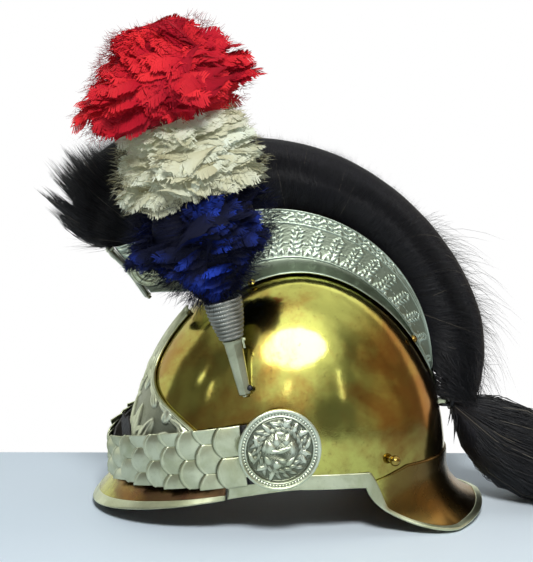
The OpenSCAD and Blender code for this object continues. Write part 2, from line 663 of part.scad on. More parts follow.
tulip_gap = 0.3;
tulip_r0 = 8.7;
function tulip_at(z) = mix(tulip_r0, tulip_d / 2, sin(90 * clamp(z / tulip_l, 0, 1)));
module plume_tulip() color("dimgray") on_stem() translate([0, 0, tulip_gap]) difference() {
    rib = tulip_l / tulip_rings / 2;
    rotate_extrude() union() {
        polygon(concat([[0, 0]], [for (i = [0:tulip_rings]) [tulip_at(i * 2 * rib) - rib * 0.6, i * 2 * rib]],
            [[0, tulip_l]]));
        for (i = [0:tulip_rings - 1])
            translate([tulip_at((2 * i + 1) * rib) - rib * 0.6, (2 * i + 1) * rib])
                circle(r = rib * 0.98, $fn = 24);
    }
    translate([0, 0, -1]) cylinder(d = stem_d, h = tulip_l + 2);
}
stem_top = tulip_gap + tulip_l + blue_l + cream_l + red_l * 0.5;
module plume_stem() color("gray") on_stem() translate([0, 0, -socket_l + 3])
    cylinder(d = stem_d, h = socket_l - 3 + stem_top);

// Feathers: lobed masses threaded on the stem, one above the other
feather_pts = 20;
function lobes(th, z, seed) = 1 + 0.07 * cos(5 * th + seed * 70 + z * 2) + 0.05 * cos(3 * th - seed * 40 - z);
function feather_ring(z, r, seed, fwd = 0) =
    [for (i = [0:feather_pts - 1]) let (th = 360 * i / feather_pts, k = r * lobes(th, z, seed))
        [k * plume_flat * cos(th), k * sin(th) - fwd, z]];
module feathers(z0, length, radius, shape, seed, fwd = 0) {
    n = len(shape) - 1;
    on_stem() difference() {
        loft([for (i = [0:n]) let (f = shape[i][0])
            feather_ring(z0 + length * f, radius * shape[i][1], seed, fwd * (1 - 0.9 * f))]);
        translate([0, 0, z0 - 1]) cylinder(d = stem_d + 0.1, h = min(length + 2, stem_top - z0 + 1.2));
    }
}
blue_z = tulip_gap + tulip_l + 0.1;
cream_z = blue_z + blue_l + 0.1;
red_z = cream_z + cream_l + 0.1;
module feathers_blue() color("#14146e")
    feathers(blue_z, blue_l, blue_r,
        [[0, 0.2], [0.12, 0.5], [0.3, 0.84], [0.52, 1], [0.75, 0.98], [1, 0.8]], 1);
module feathers_cream() color("#e1dcbe")
    feathers(cream_z, cream_l, cream_r, [[0, 0.86], [0.2, 1], [0.5, 1], [0.8, 1.02], [1, 0.9]], 2);
module feathers_red() color("#c81428")
    feathers(red_z, red_l, red_r,
        [[0, 0.86], [0.16, 1.01], [0.38, 0.98], [0.6, 0.8], [0.84, 0.56], [1, 0.34]], 3, red_fwd);

// Chin straps: plan curve of the leather's middle layer, by its angle and by its length
strap_a = strap_x + leather_t / 2;
strap_b = strap_fwd + leather_t / 2 - pivot_fwd;
arc_steps = 60;
function strap_at(t) = [strap_a * cos(t), -pivot_fwd - strap_b * sin(t)];
function arc_pt(i) = strap_at(90 * i / arc_steps);
arc_table = [for (i = 0, s = 0; i <= arc_steps; s = s + norm(arc_pt(i + 1) - arc_pt(i)), i = i + 1)
    [s, 90 * i / arc_steps]];
strap_len = arc_table[arc_steps][0];
function along_strap(s) = strap_at(lookup(s, arc_table));
strap_start_z = pivot_z - 2;
strap_fall = 29.5;
function strap_z(s) = strap_start_z - strap_fall * s / strap_len;
function strap_half(s) = mix(strap_wide, strap_narrow, pow(s / strap_len, 1.6)) / 2;
strap_slope = atan(strap_fall / strap_len);
pitch = (strap_len - end_gap - first_row) / rows;
function row_s(k) = first_row + pitch * k;
function row_pt(k) = along_strap(row_s(k));
function row_turn(k) = let (d = row_pt(k + 1) - row_pt(k)) atan2(d[1], d[0]);
scale_tilt = atan((scale_t + scale_gap) / pitch);
lap = 1.6;
function scale_len(k) = pitch + (k < rows - 1 ? lobe + lap : 0);
scale_root = 0.8;

// Draws in the plane of row k: X forward along the strap, Z up, Y outwards from the leather
module in_row(k) {
    p = row_pt(k);
    translate([p[0], p[1], strap_z(row_s(k))])
        rotate([0, 0, row_turn(k)]) rotate([0, strap_slope, 0]) children();
}
module outward_plate(off, t) {
    rotate([90, 0, 0]) translate([0, 0, -off - t]) linear_extrude(t) children();
}
module lobe_part(hw, l, at, low, high) {
    r = (pow(hw / 2, 2) + pow(lobe, 2)) / (2 * lobe);
    intersection() {
        translate([l - r, at]) circle(r = r);
        translate([l - lobe - 0.5, low]) square([lobe + 1, high - low]);
    }
}
module scale_row(k) {
    hw = strap_half(row_s(k));
    l = scale_len(k);
    color(silver) in_row(k) rotate([0, 0, scale_tilt]) outward_plate(leather_t / 2 + 0.1, scale_t) union() {
        translate([scale_root, -hw]) square([l - lobe - scale_root, 2 * hw]);
        if (k % 2 == 0) for (s = [-1, 1]) lobe_part(hw, l, s * hw / 2, s < 0 ? -hw : 0, s < 0 ? 0 : hw);
        if (k % 2 == 1) {
            lobe_part(hw, l, 0, -hw / 2, hw / 2);
            lobe_part(hw, l, hw, hw / 2, hw);
            lobe_part(hw, l, -hw, -hw, -hw / 2);
        }
    }
}
module on_side(side) {
    if (side == "left") children();
    else mirror([1, 0, 0]) children();
}

// Leather of a strap, as a band through the rows' hinge lines
leather_from = 12;
module strap_leather(side) {
    ss = concat([leather_from], [for (k = [0:rows]) row_s(k)]);
    pts = [for (s = ss) along_strap(s)];
    dirs = [for (i = [0:len(ss) - 1]) unit(pts[min(i + 1, len(ss) - 1)] - pts[max(i - 1, 0)])];
    rings = [for (i = [0:len(ss) - 1])
        let (n = [-dirs[i][1], dirs[i][0]], z = strap_z(ss[i]), h = strap_half(ss[i]) - 0.6,
        o = pts[i] + n * leather_t / 2, q = pts[i] - n * leather_t / 2)
        [[o[0], o[1], z - h], [q[0], q[1], z - h], [q[0], q[1], z + h], [o[0], o[1], z + h]]];
    color(leather) on_side(side) loft(rings);
}

// Rigid root of a strap: a plate that turns on the pivot post
root_t = 1.2;
root_h = strap_wide * 0.84;
root_x = strap_x + leather_t + 0.1;
module at_pivot() {
    translate([0, -pivot_fwd, pivot_z]) rotate([0, 90, 0]) children();
}
module strap_root(side) {
    color(silver) on_side(side) translate([0, -pivot_fwd, pivot_z]) difference() {
        rotate([90, 0, -90]) mirror([0, 0, 1]) translate([0, 0, root_x]) linear_extrude(root_t) union() {
            circle(r = 13);
            translate([0, -2 - root_h / 2]) square([first_row - 0.6, root_h]);
        }
        translate([root_x - 1, 0, 0]) rotate([0, 90, 0]) cylinder(d = post_d + 2 * post_gap, h = root_t + 2);
    }
}
rosette_off = 2.3;
rosette_x = root_x + root_t + rosette_off;
rim_w = 3;
bead_r = rosette_d / 2 - rim_w - 1.6;
module rosette(side) {
    r = rosette_d / 2;
    t = rosette_t;
    color(silver) on_side(side) translate([rosette_x, 0, 0]) at_pivot() difference() {
        union() {
            rotate_extrude() union() {
                polygon([[0, 0], [r - 0.6, 0], [r, 0.6], [r, t - 1.4], [r - rim_w, t - 1.4],
                    [r - rim_w - 3, t - 1.8], [r * 0.62, t - 1.2], [r * 0.42, t], [r * 0.3, t + 1.2],
                    [0, t + 2.4]]);
                translate([r - rim_w / 2, t - 1.4]) circle(r = rim_w / 2, $fn = 24);
                translate([bead_r, t - 1.6]) circle(r = 1.1, $fn = 24);
                translate([bead_r - 2.8, t - 1.4]) circle(r = 0.8, $fn = 24);
            }
            translate([0, 0, root_x + root_t + 0.2 - rosette_x])
                cylinder(r = 8, h = rosette_x - root_x - root_t);
        }
        translate([0, 0, -5]) cylinder(d = post_d + 2 * post_gap, h = 5 + t - 1);
    }
}
flange_d = 15;
module pivot_posts() color(brass) both() at_pivot() {
    x0 = side_x(-pivot_fwd, pivot_z - flange_d / 2, 0) + 2 * seat_gap;
    translate([0, 0, x0]) cylinder(d = flange_d, h = strap_x - 0.6 - x0);
    translate([0, 0, x0]) cylinder(d = post_d, h = rosette_x + rosette_t - 1.4 - x0);
}

// Loose end of the strap's thong, standing up behind the scales at the brow
thong_w = 12;
thong_up = 36;
thong_t = 1.6;
thong_row = 7;
module strap_thong() color(leather) in_row(thong_row)
    outward_plate(-leather_t / 2 - 0.2 - thong_t, thong_t)
        polygon([[1, -6], [1 + thong_w, -6], [thong_w + 2, thong_up * 0.8], [thong_w - 1, thong_up],
            [thong_w - 5, thong_up * 0.86], [3, thong_up * 0.94], [0.5, thong_up * 0.7]]);

// Mane: a vertical pin in a lug carries a yoke, and the hair spreads from it
lug_t = 3;
lug_w = 8;
pin_d = 3;
pin_gap = 0.1;
pin_h = 9;
module mane_loop() color(silver) difference() {
    y0 = length_at(tie_z, 0) + 0.3;
    translate([0, 0, tie_z - lug_t / 2]) linear_extrude(lug_t) union() {
        translate([-lug_w / 2, y0]) square([lug_w, tie_back - y0]);
        translate([0, tie_back]) circle(d = lug_w);
    }
    translate([0, tie_back, tie_z - 5]) cylinder(d = pin_d + 2 * pin_gap, h = 10);
}
yoke_t = 2;
yoke_w = 6;
ferrule_d = 15;
ferrule_l = 3;
yoke_y = tie_back + lug_w / 2 + 1;
module mane_tie() color("black") {
    translate([0, tie_back, tie_z - pin_h / 2]) cylinder(d = pin_d, h = pin_h);
    for (s = [-1, 1]) translate([0, 0, tie_z + s * (pin_h - yoke_t) / 2 - yoke_t / 2])
        linear_extrude(yoke_t) union() {
            translate([0, tie_back]) circle(d = yoke_w);
            translate([-yoke_w / 2, tie_back]) square([yoke_w, yoke_y - tie_back + 1]);
        }
    translate([0, yoke_y, tie_z]) rotate([-90, 0, 0]) cylinder(d = ferrule_d, h = ferrule_l);
}
floor_z = -guard_down - seat_gap - trim_t - sheet_t / 2;
mane_pts = 14;
// Each section: place along the mane, drop of its middle, its half height and half width as shares
mane_shape = [[0, -4, 0.2, 0.22], [0.02, -14, 0.42, 0.4], [0.045, -23, 0.66, 0.6], [0.1, -29, 0.86, 0.8],
    [0.17, -37, 1.06, 0.95], [0.26, -46, 1.1, 1.02], [0.36, -56, 1, 1.06], [0.5, -64, 0.66, 1.05],
    [0.64, -72, 0.46, 1], [0.8, -79, 0.28, 0.85], [0.92, -83.5, 0.15, 0.6], [1, -86, 0.06, 0.3]];
module mane() {
    y0 = yoke_y + ferrule_l + 0.1;
    rings = [for (m = mane_shape) [for (i = [0:mane_pts - 1])
        let (th = 360 * i / mane_pts, flute = 1 + 0.05 * cos(4 * th + 300 * m[0]),
             z = tie_z + m[1] + mane_r * m[2] * flute * sin(th))
        [mane_r * m[3] * flute * cos(th), y0 + mane_l * m[0], max(z, floor_z)]]];
    color(hair) loft([for (r = rings) [for (i = [mane_pts - 1:-1:0]) r[i]]]);
}

// Liner: a leather band inside the rim, tongues over the head and the lace that gathers them
band_up = edging_back + 1.5;
liner_sides = 36;
tongue_end = 27;
liner_out = -sheet_t - 1;
module liner_band() {
    n = liner_sides;
    function ring(f, g) = [for (i = [0:n - 1]) bowl_pt(360 * i / n, band_up + liner_h * f, g)];
    outer = flat([for (f = [0, 0.5, 1]) ring(f, liner_out)]);
    inner = flat([for (f = [0, 0.5, 1]) ring(f, liner_out - liner_t)]);
    k = len(outer);
    walls = [for (j = [0, n]) for (i = [0:n - 1]) let (a = j + i, b = j + (i + 1) % n)
        each [[a, b + n, b], [a, a + n, b + n], [k + a, k + b, k + b + n], [k + a, k + b + n, k + a + n]]];
    ends = [for (i = [0:n - 1]) let (b = (i + 1) % n, c = 2 * n + i, d = 2 * n + b)
        each [[i, b, k + b], [i, k + b, k + i], [c, k + d, d], [c, k + c, k + d]]];
    color(hide) polyhedron(concat(outer, inner), concat(walls, ends));
}
function tongue_pt(th, f) =
    let (p = bowl_pt(th, band_up + liner_h - 6, liner_out - liner_t - flats_gap - 0.5 - 5 * f), g = f * f)
    [mix(p[0], tongue_end * sin(th), g), mix(p[1], -tongue_end * cos(th), g),
     mix(p[2], tongue_top, sin(90 * f))];
module liner_tongues() color(hide) for (k = [0:tongues - 1]) {
    mid = 360 * (k + 0.5) / tongues;
    half = 160 / tongues;
    outer = [for (f = [0:0.2:1]) [for (u = [-1:0.5:1]) tongue_pt(mid + u * half * (1 - 0.25 * f * f), f)]];
    sheet(outer, offset_grid(outer, -liner_t));
}
module liner_lace() color("black") translate([0, 0, tongue_top - liner_t - 1.4])
    rotate_extrude() translate([tongue_end + 1.4, 0]) circle(r = 1.1, $fn = 16);

bowl();
visor();
neck_guard();
visor_edge();
rim_band();
front_plate();
crest_left();
crest_right();
crest_channel();
crest_prow_floor();
crest_mask();
crest_tail();
crest_studs();
crest_nuts();
brush();
brush_backing();
mane();
mane_tie();
mane_loop();
rear_studs();
plume_socket();
socket_bracket();
plume_catch();
plume_tulip();
plume_stem();
feathers_blue();
feathers_cream();
feathers_red();
for (side = SIDES) {
    rosette(side);
    strap_root(side);
    strap_leather(side);
    for (k = [0:rows - 1])
        on_side(side) scale_row(k);
}
pivot_posts();
strap_thong();
liner_band();
liner_tongues();
liner_lace();
visor_lining();
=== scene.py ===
import math
import bpy
import bmesh
import numpy as np
from mathutils import Matrix, Vector


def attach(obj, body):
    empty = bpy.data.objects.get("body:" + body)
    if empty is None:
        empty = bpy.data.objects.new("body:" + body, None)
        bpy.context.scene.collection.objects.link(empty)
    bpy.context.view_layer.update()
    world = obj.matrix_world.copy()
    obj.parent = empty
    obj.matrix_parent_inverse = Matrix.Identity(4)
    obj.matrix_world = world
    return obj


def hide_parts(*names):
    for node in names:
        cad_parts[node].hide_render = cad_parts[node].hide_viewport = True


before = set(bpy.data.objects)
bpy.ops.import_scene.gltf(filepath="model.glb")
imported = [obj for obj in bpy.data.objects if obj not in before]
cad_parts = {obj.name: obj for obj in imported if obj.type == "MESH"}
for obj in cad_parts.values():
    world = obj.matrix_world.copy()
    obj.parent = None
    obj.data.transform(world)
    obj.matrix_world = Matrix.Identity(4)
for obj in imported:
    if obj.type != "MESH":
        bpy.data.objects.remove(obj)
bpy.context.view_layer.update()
mm = 0.001


# small number helpers; they take single values or numpy arrays
def mix(a, b, f):
    return a + (b - a) * f


def clamp(x, low=0.0, high=1.0):
    return np.clip(x, low, high)


def smooth(x, low, high):
    t = clamp((x - low) / (high - low))
    return t * t * (3 - 2 * t)


def vec(x, y, z):
    return np.stack(np.broadcast_arrays(x, y, z), axis=-1).astype(float)


def unit(v):
    return v / np.maximum(np.linalg.norm(v, axis=-1, keepdims=True), 1e-9)


def col(x):
    return np.asarray(x)[..., None]


def sinD(a):
    return np.sin(np.radians(a))


def cosD(a):
    return np.cos(np.radians(a))


# node graphs
class Wire:  # a socket that takes part in sums
    def __init__(self, graph, socket):
        self.graph = graph
        self.socket = socket

    def sum(self, operation, a, b):
        return self.graph.add("ShaderNodeMath", {"operation": operation}, {0: a, 1: b})

    def __add__(self, other):
        return self.sum("ADD", self, other)

    def __sub__(self, other):
        return self.sum("SUBTRACT", self, other)

    def __rsub__(self, other):
        return self.sum("SUBTRACT", other, self)

    def __mul__(self, other):
        return self.sum("MULTIPLY", self, other)

    __radd__ = __add__
    __rmul__ = __mul__


class Graph:
    def __init__(self, tree):
        self.tree = tree

    def add(self, kind, settings=None, sockets=None, output=0):
        node = self.tree.nodes.new(kind)
        for key, value in (settings or {}).items():
            if key == "stops":
                ramp = node.color_ramp
                while len(ramp.elements) < len(value):
                    ramp.elements.new(0.5)
                for element, (place, colour) in zip(ramp.elements, value):
                    element.position = place
                    element.color = (*colour, 1)
            else:
                setattr(node, key, value)
        for key, value in (sockets or {}).items():
            self.put(node.inputs[key], value)
        return Wire(self, node.outputs[output]) if node.outputs else None

    def put(self, socket, value):
        if isinstance(value, Wire):
            self.tree.links.new(value.socket, socket)
        elif isinstance(value, tuple) and socket.type == "RGBA" and len(value) == 3:
            socket.default_value = (*value, 1)
        else:
            socket.default_value = value

    def spot(self, kind="Object"):
        return self.add("ShaderNodeTexCoord", output=kind)

    def place(self, scale=(1, 1, 1)):
        return self.add("ShaderNodeMapping", {}, {0: self.spot(), 3: scale})

    def measure(self, name):  # an attribute that savePiece wrote
        return self.add("ShaderNodeAttribute", {"attribute_name": name}, output="Fac")

    def axis(self, vector, letter):
        return self.add("ShaderNodeSeparateXYZ", {}, {0: vector}, output=letter)

    def noise(self, scale, detail=3.0, where=None, rough=0.5, warp=0.0):
        sockets = {"Scale": scale, "Detail": detail, "Roughness": rough, "Distortion": warp}
        sockets["Vector"] = where or self.place()
        return self.add("ShaderNodeTexNoise", {}, sockets)

    def band(self, value, low, high):  # 0 below low, 1 above high
        settings = {"interpolation_type": "SMOOTHSTEP"}
        return self.add("ShaderNodeMapRange", settings, {0: value, 1: low, 2: high})

    def blendColour(self, factor, a, b):
        return self.add("ShaderNodeMix", {"data_type": "RGBA"}, {0: factor, 6: a, 7: b}, output=2)

    def ramp(self, value, stops):
        return self.add("ShaderNodeValToRGB", {"stops": stops}, {0: value})

    def bump(self, height, strength, distance):
        return self.add("ShaderNodeBump", {}, {"Strength": strength, "Distance": distance, "Height": height})


class Finish(Graph):
    def __init__(self, name, slot, **fixed):
        self.material = bpy.data.materials.new(name)
        self.material.use_nodes = True
        super().__init__(self.material.node_tree)
        self.surface = self.tree.nodes["Principled BSDF"]
        self.slot = slot
        self.set(**fixed)

    def set(self, **sockets):
        for key, value in sockets.items():
            self.put(self.surface.inputs[key.replace("_", " ")], value)


def paint(red, green, blue):  # an 8-bit screen colour as the shader's linear one
    shares = [c / 255 for c in (red, green, blue)]
    return tuple(c / 12.92 if c <= 0.04045 else ((c + 0.055) / 1.055) ** 2.4 for c in shares)


# mesh helpers: sizes below are millimetres, and only savePiece turns them into metres
sides = (("left", 1), ("right", -1))


def newGrid(columns, rows):
    bm = bmesh.new()
    bm.loops.layers.uv.new("UVMap")
    bmesh.ops.create_grid(bm, x_segments=columns, y_segments=rows, size=0.5, calc_uvs=True)
    return bm


def spotsOf(bm):
    return np.array([vertex.co[:] for vertex in bm.verts])


def moveVerts(bm, spots):
    for vertex, spot in zip(bm.verts, spots):
        vertex.co = spot
    return bm


def gridShares(bm):  # how far to the right and up each vertex of a new grid lies, from 0 to 1
    spots = spotsOf(bm) + 0.5
    return spots[:, 0], spots[:, 1]


def skin(columns, rows, where):  # where(u, v) gives each vertex, u to the right and v up from outside
    bm = newGrid(columns, rows)
    return moveVerts(bm, where(*gridShares(bm)))


def weld(bm, closed=True):
    bmesh.ops.remove_doubles(bm, verts=bm.verts, dist=0.002)
    bmesh.ops.dissolve_degenerate(bm, edges=bm.edges, dist=0.0005)
    if closed:
        bmesh.ops.recalc_face_normals(bm, faces=bm.faces)
    return bm


def shell(columns, rows, where):  # a skin that closes on itself
    return weld(skin(columns, rows, where))


def raised(base, height, step=0.004):  # a base surface with a relief on it
    def where(u, v):
        across = base(u + step, v) - base(u - step, v)
        up = base(u, v + step) - base(u, v - step)
        return base(u, v) + unit(np.cross(across, up)) * col(height(u, v))
    return where


def carry(bm, matrix):
    bmesh.ops.transform(bm, matrix=matrix, verts=bm.verts)
    return bm


def toSide(bm, side):  # a piece made for the left, mirrored where it is the right one
    if side < 0:
        carry(bm, Matrix.Scale(-1, 4, (1, 0, 0)))
        bmesh.ops.reverse_faces(bm, faces=bm.faces)
    return bm


def together(parts):
    whole = bmesh.new()
    whole.loops.layers.uv.new("UVMap")
    for part in parts:
        mesh = bpy.data.meshes.new("part")
        part.to_mesh(mesh)
        part.free()
        whole.from_mesh(mesh)
        bpy.data.meshes.remove(mesh)
    return whole


def mirroredPair(make):
    pair = [carry(make(), Matrix.Scale(side, 4, (1, 0, 0))) for name, side in sides]
    for bm in pair:
        bmesh.ops.recalc_face_normals(bm, faces=bm.faces)
    return together(pair)


def lathe(profile, steps=40):  # (radius, height) points turned round the z axis
    last = len(profile) - 1
    rs, zs = [p[0] for p in profile], [p[1] for p in profile]

    def where(u, v):
        r, z = np.interp(v * last, range(last + 1), rs), np.interp(v * last, range(last + 1), zs)
        return vec(r * cosD(360 * u), r * sinD(360 * u), z)
    return shell(steps, last, where)


def domeProfile(r, z, start, count):  # a round top from an angle up to the axis
    turns = np.linspace(start, 90, count)[:-1]
    return [(r * float(cosD(a)), z + r * float(sinD(a))) for a in turns] + [(0, z + r)]


def standing(bm, spot, normal):  # puts a turned piece on a spot with its axis along a normal
    turn = Vector((0, 0, 1)).rotation_difference(Vector(normal)).to_matrix().to_4x4()
    return carry(bm, Matrix.Translation(Vector(spot)) @ turn)


def disc(radius, back, face, size):  # a closed disc, face(r, turn) gives its height over z = 0
    def where(u, v):
        r = radius * np.interp(v, [0, 0.04, 0.06, 1], [0, 0.985, 1, 0])
        turn = 360 * u
        h = np.where(v > 0.05, face(r, turn), -back)
        return vec(r * cosD(turn), r * sinD(turn), h)
    return shell(*size, where)


def sideways(bm, side, x, y, z):  # turns a local face outwards to a side: local x to the rear, local y up
    carry(bm, Matrix(((0, 0, side, side * x), (1, 0, 0, y), (0, 1, 0, z), (0, 0, 0, 1))))
    bmesh.ops.recalc_face_normals(bm, faces=bm.faces)
    return bm


def repeat(bm, count):  # many copies of a template in one mesh, whose points savePiece then sets
    block = bpy.data.meshes.new("block")
    bm.to_mesh(block)
    bm.free()
    whole = bmesh.new()
    while count:
        if count & 1:
            whole.from_mesh(block)
        count >>= 1
        if count:
            pair = bmesh.new()
            pair.from_mesh(block)
            pair.from_mesh(block)
            pair.to_mesh(block)
            pair.free()
    bpy.data.meshes.remove(block)
    return whole


def savePiece(name, bm, finish, body, stands=(), sheet=0.0, side=-1.0, relief=None, shades=None, points=None):
    mesh = bpy.data.meshes.new(name)
    bm.to_mesh(mesh)
    bm.free()
    if points is None:
        points = np.empty(len(mesh.vertices) * 3)
        mesh.vertices.foreach_get("co", points)
    mesh.vertices.foreach_set("co", (np.asarray(points).reshape(-1) * mm).astype(np.float32))
    for measure, values in (("relief", relief), ("shade", shades)):
        if values is not None:
            kept = mesh.attributes.new(measure, "FLOAT", "POINT")
            kept.data.foreach_set("value", values.astype(np.float32))
    mesh.polygons.foreach_set("use_smooth", [True] * len(mesh.polygons))
    mesh.materials.append(finish.material)
    mesh.update()
    piece = bpy.data.objects.new(name, mesh)
    bpy.context.scene.collection.objects.link(piece)
    if sheet:  # side -1 thickens a skin inwards, 1 outwards
        wall = piece.modifiers.new("wall", "SOLIDIFY")
        wall.thickness = sheet * mm
        wall.offset = side
        wall.use_even_offset = False
    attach(piece, body)
    if stands:
        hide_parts(*stands)
    return piece


# finishes
def metalFinish(name, bright, dull, deep, rough, hollow=None, slot="white_metal"):
    bright, dull, deep = (paint(*tone) for tone in (bright, dull, deep))
    f = Finish(name, slot, Metallic=1.0)
    clouds = f.noise(26, 5, rough=0.6, warp=0.6)
    specks = f.noise(420, 3, rough=0.7)
    colour = f.blendColour(f.band(clouds, 0.35, 0.72), bright, dull)
    colour = f.blendColour(f.band(specks, 0.55, 0.85) * 0.25, colour, deep)
    if hollow:  # the hollows of a relief are painted dark, as their shade and tarnish, up to a height and by a share
        height, share = hollow
        colour = f.blendColour((1 - f.band(f.measure("relief"), 0.0, height)) * share, colour, deep)
    f.set(Base_Color=colour, Roughness=clouds * 0.14 + specks * 0.08 + rough)
    f.set(Normal=f.bump(specks + f.noise(70, 2) * 2.0, 0.12, 0.0006))
    return f


silver = metalFinish("white_metal", (204, 208, 178), (168, 172, 138), (72, 74, 50), 0.24)
chased = metalFinish("chased_white_metal", (214, 220, 200), (174, 182, 152), (56, 60, 44), 0.22, (0.55, 0.8))
scaled = metalFinish("scale_metal", (206, 210, 182), (172, 176, 142), (46, 48, 36), 0.2, (1.0, 0.9))
plated = metalFinish("front_plate_metal", (222, 226, 200), (186, 190, 156), (52, 54, 38), 0.3, (0.9, 0.65))
engraved = metalFinish("crest_metal", (180, 192, 176), (148, 158, 142), (102, 110, 94), 0.24, (0.5, 0.75))
socketMetal = metalFinish("socket_metal", (176, 178, 150), (128, 130, 106), (48, 48, 36), 0.2)
darkMetal = metalFinish("dull_metal", (150, 152, 146), (112, 112, 104), (44, 42, 38), 0.26, slot="dark_metal")
ironBlack = metalFinish("black_iron", (60, 60, 62), (40, 40, 42), (18, 18, 18), 0.35, slot="black_iron")

brassBright = paint(180, 178, 94)
brassAmber = paint(158, 116, 54)
brassDarkSpecksAndReflection = paint(72, 52, 32)
brassDarkReflection = paint(116, 78, 38)


def brassFinish(name, brownFrom=None, brownTone=None):
    f = Finish(name, "brass", Metallic=1.0)
    where = f.spot()
    clouds = f.noise(11, 5, rough=0.6, warp=1.2)
    fine = f.noise(60, 4, rough=0.65)
    amber = f.band(clouds + fine * 0.3, 0.52, 0.84)
    colour = f.blendColour(amber * 0.85, brassBright, brassAmber)
    # darker towards the bottom: a painted dark reflection of the room
    low = 1 - f.band(f.axis(where, "Z"), -0.01, 0.05)
    colour = f.blendColour(low * f.band(fine, 0.35, 0.7) * 0.45, colour, brassDarkSpecksAndReflection)
    specks = f.band(f.noise(240, 4, rough=0.7), 0.58, 0.8)
    colour = f.blendColour(specks * 0.5, colour, brassDarkSpecksAndReflection)
    rear = f.band(f.axis(where, "Y") + clouds * 0.09, 0.085, 0.14)  # painted dark reflection towards the back
    colour = f.blendColour(rear * 0.6, colour, brassDarkReflection)
    dull = 0.02
    if brownTone:  # the visor is browner towards its ends, and the guard towards the back as a painted dark reflection
        brownArea = f.band(f.axis(where, "Y") + fine * 0.012, brownFrom, brownFrom + 0.02)
        brownMix = f.blendColour(f.band(clouds, 0.45, 0.7), paint(*brownTone), brassAmber)
        colour = f.blendColour(brownArea * 0.85, colour, brownMix)
        dull = 0.16
    f.set(Base_Color=colour, Roughness=clouds * 0.14 + fine * 0.08 + dull)
    f.set(Normal=f.bump(f.noise(16, 3) + fine * 0.08, 0.32, 0.003))
    return f


brass = brassFinish("polished_brass")
visorBrass = brassFinish("visor_brass", -0.143, (92, 56, 50))
guardBrass = brassFinish("neck_guard_brass", 0.06, (104, 82, 44))


def hairFinish():
    f = Finish("black_horsehair", "horsehair", Specular_IOR_Level=0.34, Sheen_Weight=0.03)
    shade = f.measure("shade")
    # shades near 1 turn pale brown: painted glints on some strands
    colour = f.ramp(shade, [(0.0, paint(9, 9, 14)), (0.75, paint(20, 20, 26)), (0.97, paint(48, 45, 44)),
                            (1.0, paint(110, 104, 92))])
    f.set(Base_Color=colour, Roughness=0.42 + shade * 0.2)
    return f


def packedHairFinish():  # the dark cores that show between the strands
    f = Finish("packed_horsehair", "horsehair", Specular_IOR_Level=0.25)
    streaks = f.noise(900, 2, f.place(scale=(1, 0.3, 0.3)))
    colour = f.ramp(streaks, [(0.3, paint(8, 8, 11)), (0.8, paint(24, 23, 29))])
    f.set(Base_Color=colour, Roughness=0.6 + streaks * 0.2)
    f.set(Normal=f.bump(streaks, 0.5, 0.002))
    return f


horsehair = hairFinish()
packedHair = packedHairFinish()


def featherFinish(name, dark, middle, bright):
    f = Finish(name, name, Specular_IOR_Level=0.12)
    along = f.add("ShaderNodeUVMap", {"uv_map": "UVMap"})
    wave = {"Vector": along, "Scale": 9.0, "Distortion": 2.5, "Detail": 2.0, "Detail Scale": 2.0}
    barbs = f.add("ShaderNodeTexWave", {"bands_direction": "Y"}, wave)
    # tone rises along each feather from root to tip: painted shade at the roots
    tone = f.measure("shade") * 0.6 + barbs * 0.08 + f.axis(along, "Y") * 0.32
    colour = f.ramp(tone, [(0.1, paint(*dark)), (0.5, paint(*middle)), (0.9, paint(*bright))])
    f.set(Base_Color=colour, Roughness=0.6 + barbs * 0.2)
    f.set(Emission_Color=colour, Emission_Strength=0.1)  # a faint painted glow in the feather's own colour, which lifts the shade between feathers as if light came through the barbs
    f.set(Normal=f.bump(barbs, 0.2, 0.0008))
    return f


redFeather = featherFinish("red_feather", (98, 8, 20), (166, 20, 38), (232, 52, 56))
creamFeather = featherFinish("cream_feather", (146, 140, 104), (190, 190, 162), (218, 226, 212))
blueFeather = featherFinish("blue_feather", (8, 9, 22), (15, 18, 40), (44, 76, 205))


def leatherFinish(name, slot, dark, light, rough):
    f = Finish(name, slot)
    grain = f.add("ShaderNodeTexVoronoi", {"feature": "F1"}, {"Vector": f.place(), "Scale": 620.0})
    clouds = f.noise(30, 4, rough=0.6)
    colour = f.blendColour(f.band(clouds, 0.3, 0.75), paint(*dark), paint(*light))
    f.set(Base_Color=colour, Roughness=rough + clouds * 0.2)
    f.set(Normal=f.bump(grain + clouds, 0.4, 0.0006))
    return f


blackLeather = leatherFinish("black_leather", "black_leather", (18, 17, 19), (44, 40, 38), 0.4)
tanLeather = leatherFinish("tan_leather", "tan_leather", (96, 62, 36), (150, 104, 62), 0.5)
lacing = leatherFinish("black_lacing", "cord", (20, 19, 18), (52, 48, 42), 0.6)


def woodFinish():
    f = Finish("plain_wood", "wood")
    wave = {"Vector": f.place(scale=(1, 0.15, 0.15)), "Scale": 260.0, "Distortion": 5.0, "Detail": 3.0}
    grain = f.add("ShaderNodeTexWave", {"bands_direction": "X"}, wave)
    colour = f.blendColour(grain, paint(74, 48, 28), paint(120, 82, 50))
    f.set(Base_Color=colour, Roughness=0.6 + grain * 0.15)
    f.set(Normal=f.bump(grain, 0.3, 0.0004))
    return f


wood = woodFinish()
print("finishes made")

# bowl
bowl = dict(halfWidth=97.0, halfLength=133.0, height=164.0, drop=9.0, full=2.4, sheet=1.2)
crownHeight = bowl["height"] + bowl["drop"]


def bowlWidth(z, grow=0.0):
    rise = clamp((z + bowl["drop"]) / (crownHeight + grow))
    return (bowl["halfWidth"] + grow) * (1 - rise ** bowl["full"]) ** (1 / bowl["full"])


def bowlLength(z, grow=0.0):
    rise = clamp((z + bowl["drop"]) / (crownHeight + grow))
    return (bowl["halfLength"] + grow) * np.sqrt(1 - rise ** 2)


def bowlPoint(turn, z, grow=0.0):  # turn is the plan angle from the front towards the left ear
    return vec(bowlWidth(z, grow) * sinD(turn), -bowlLength(z, grow) * cosD(turn), z)


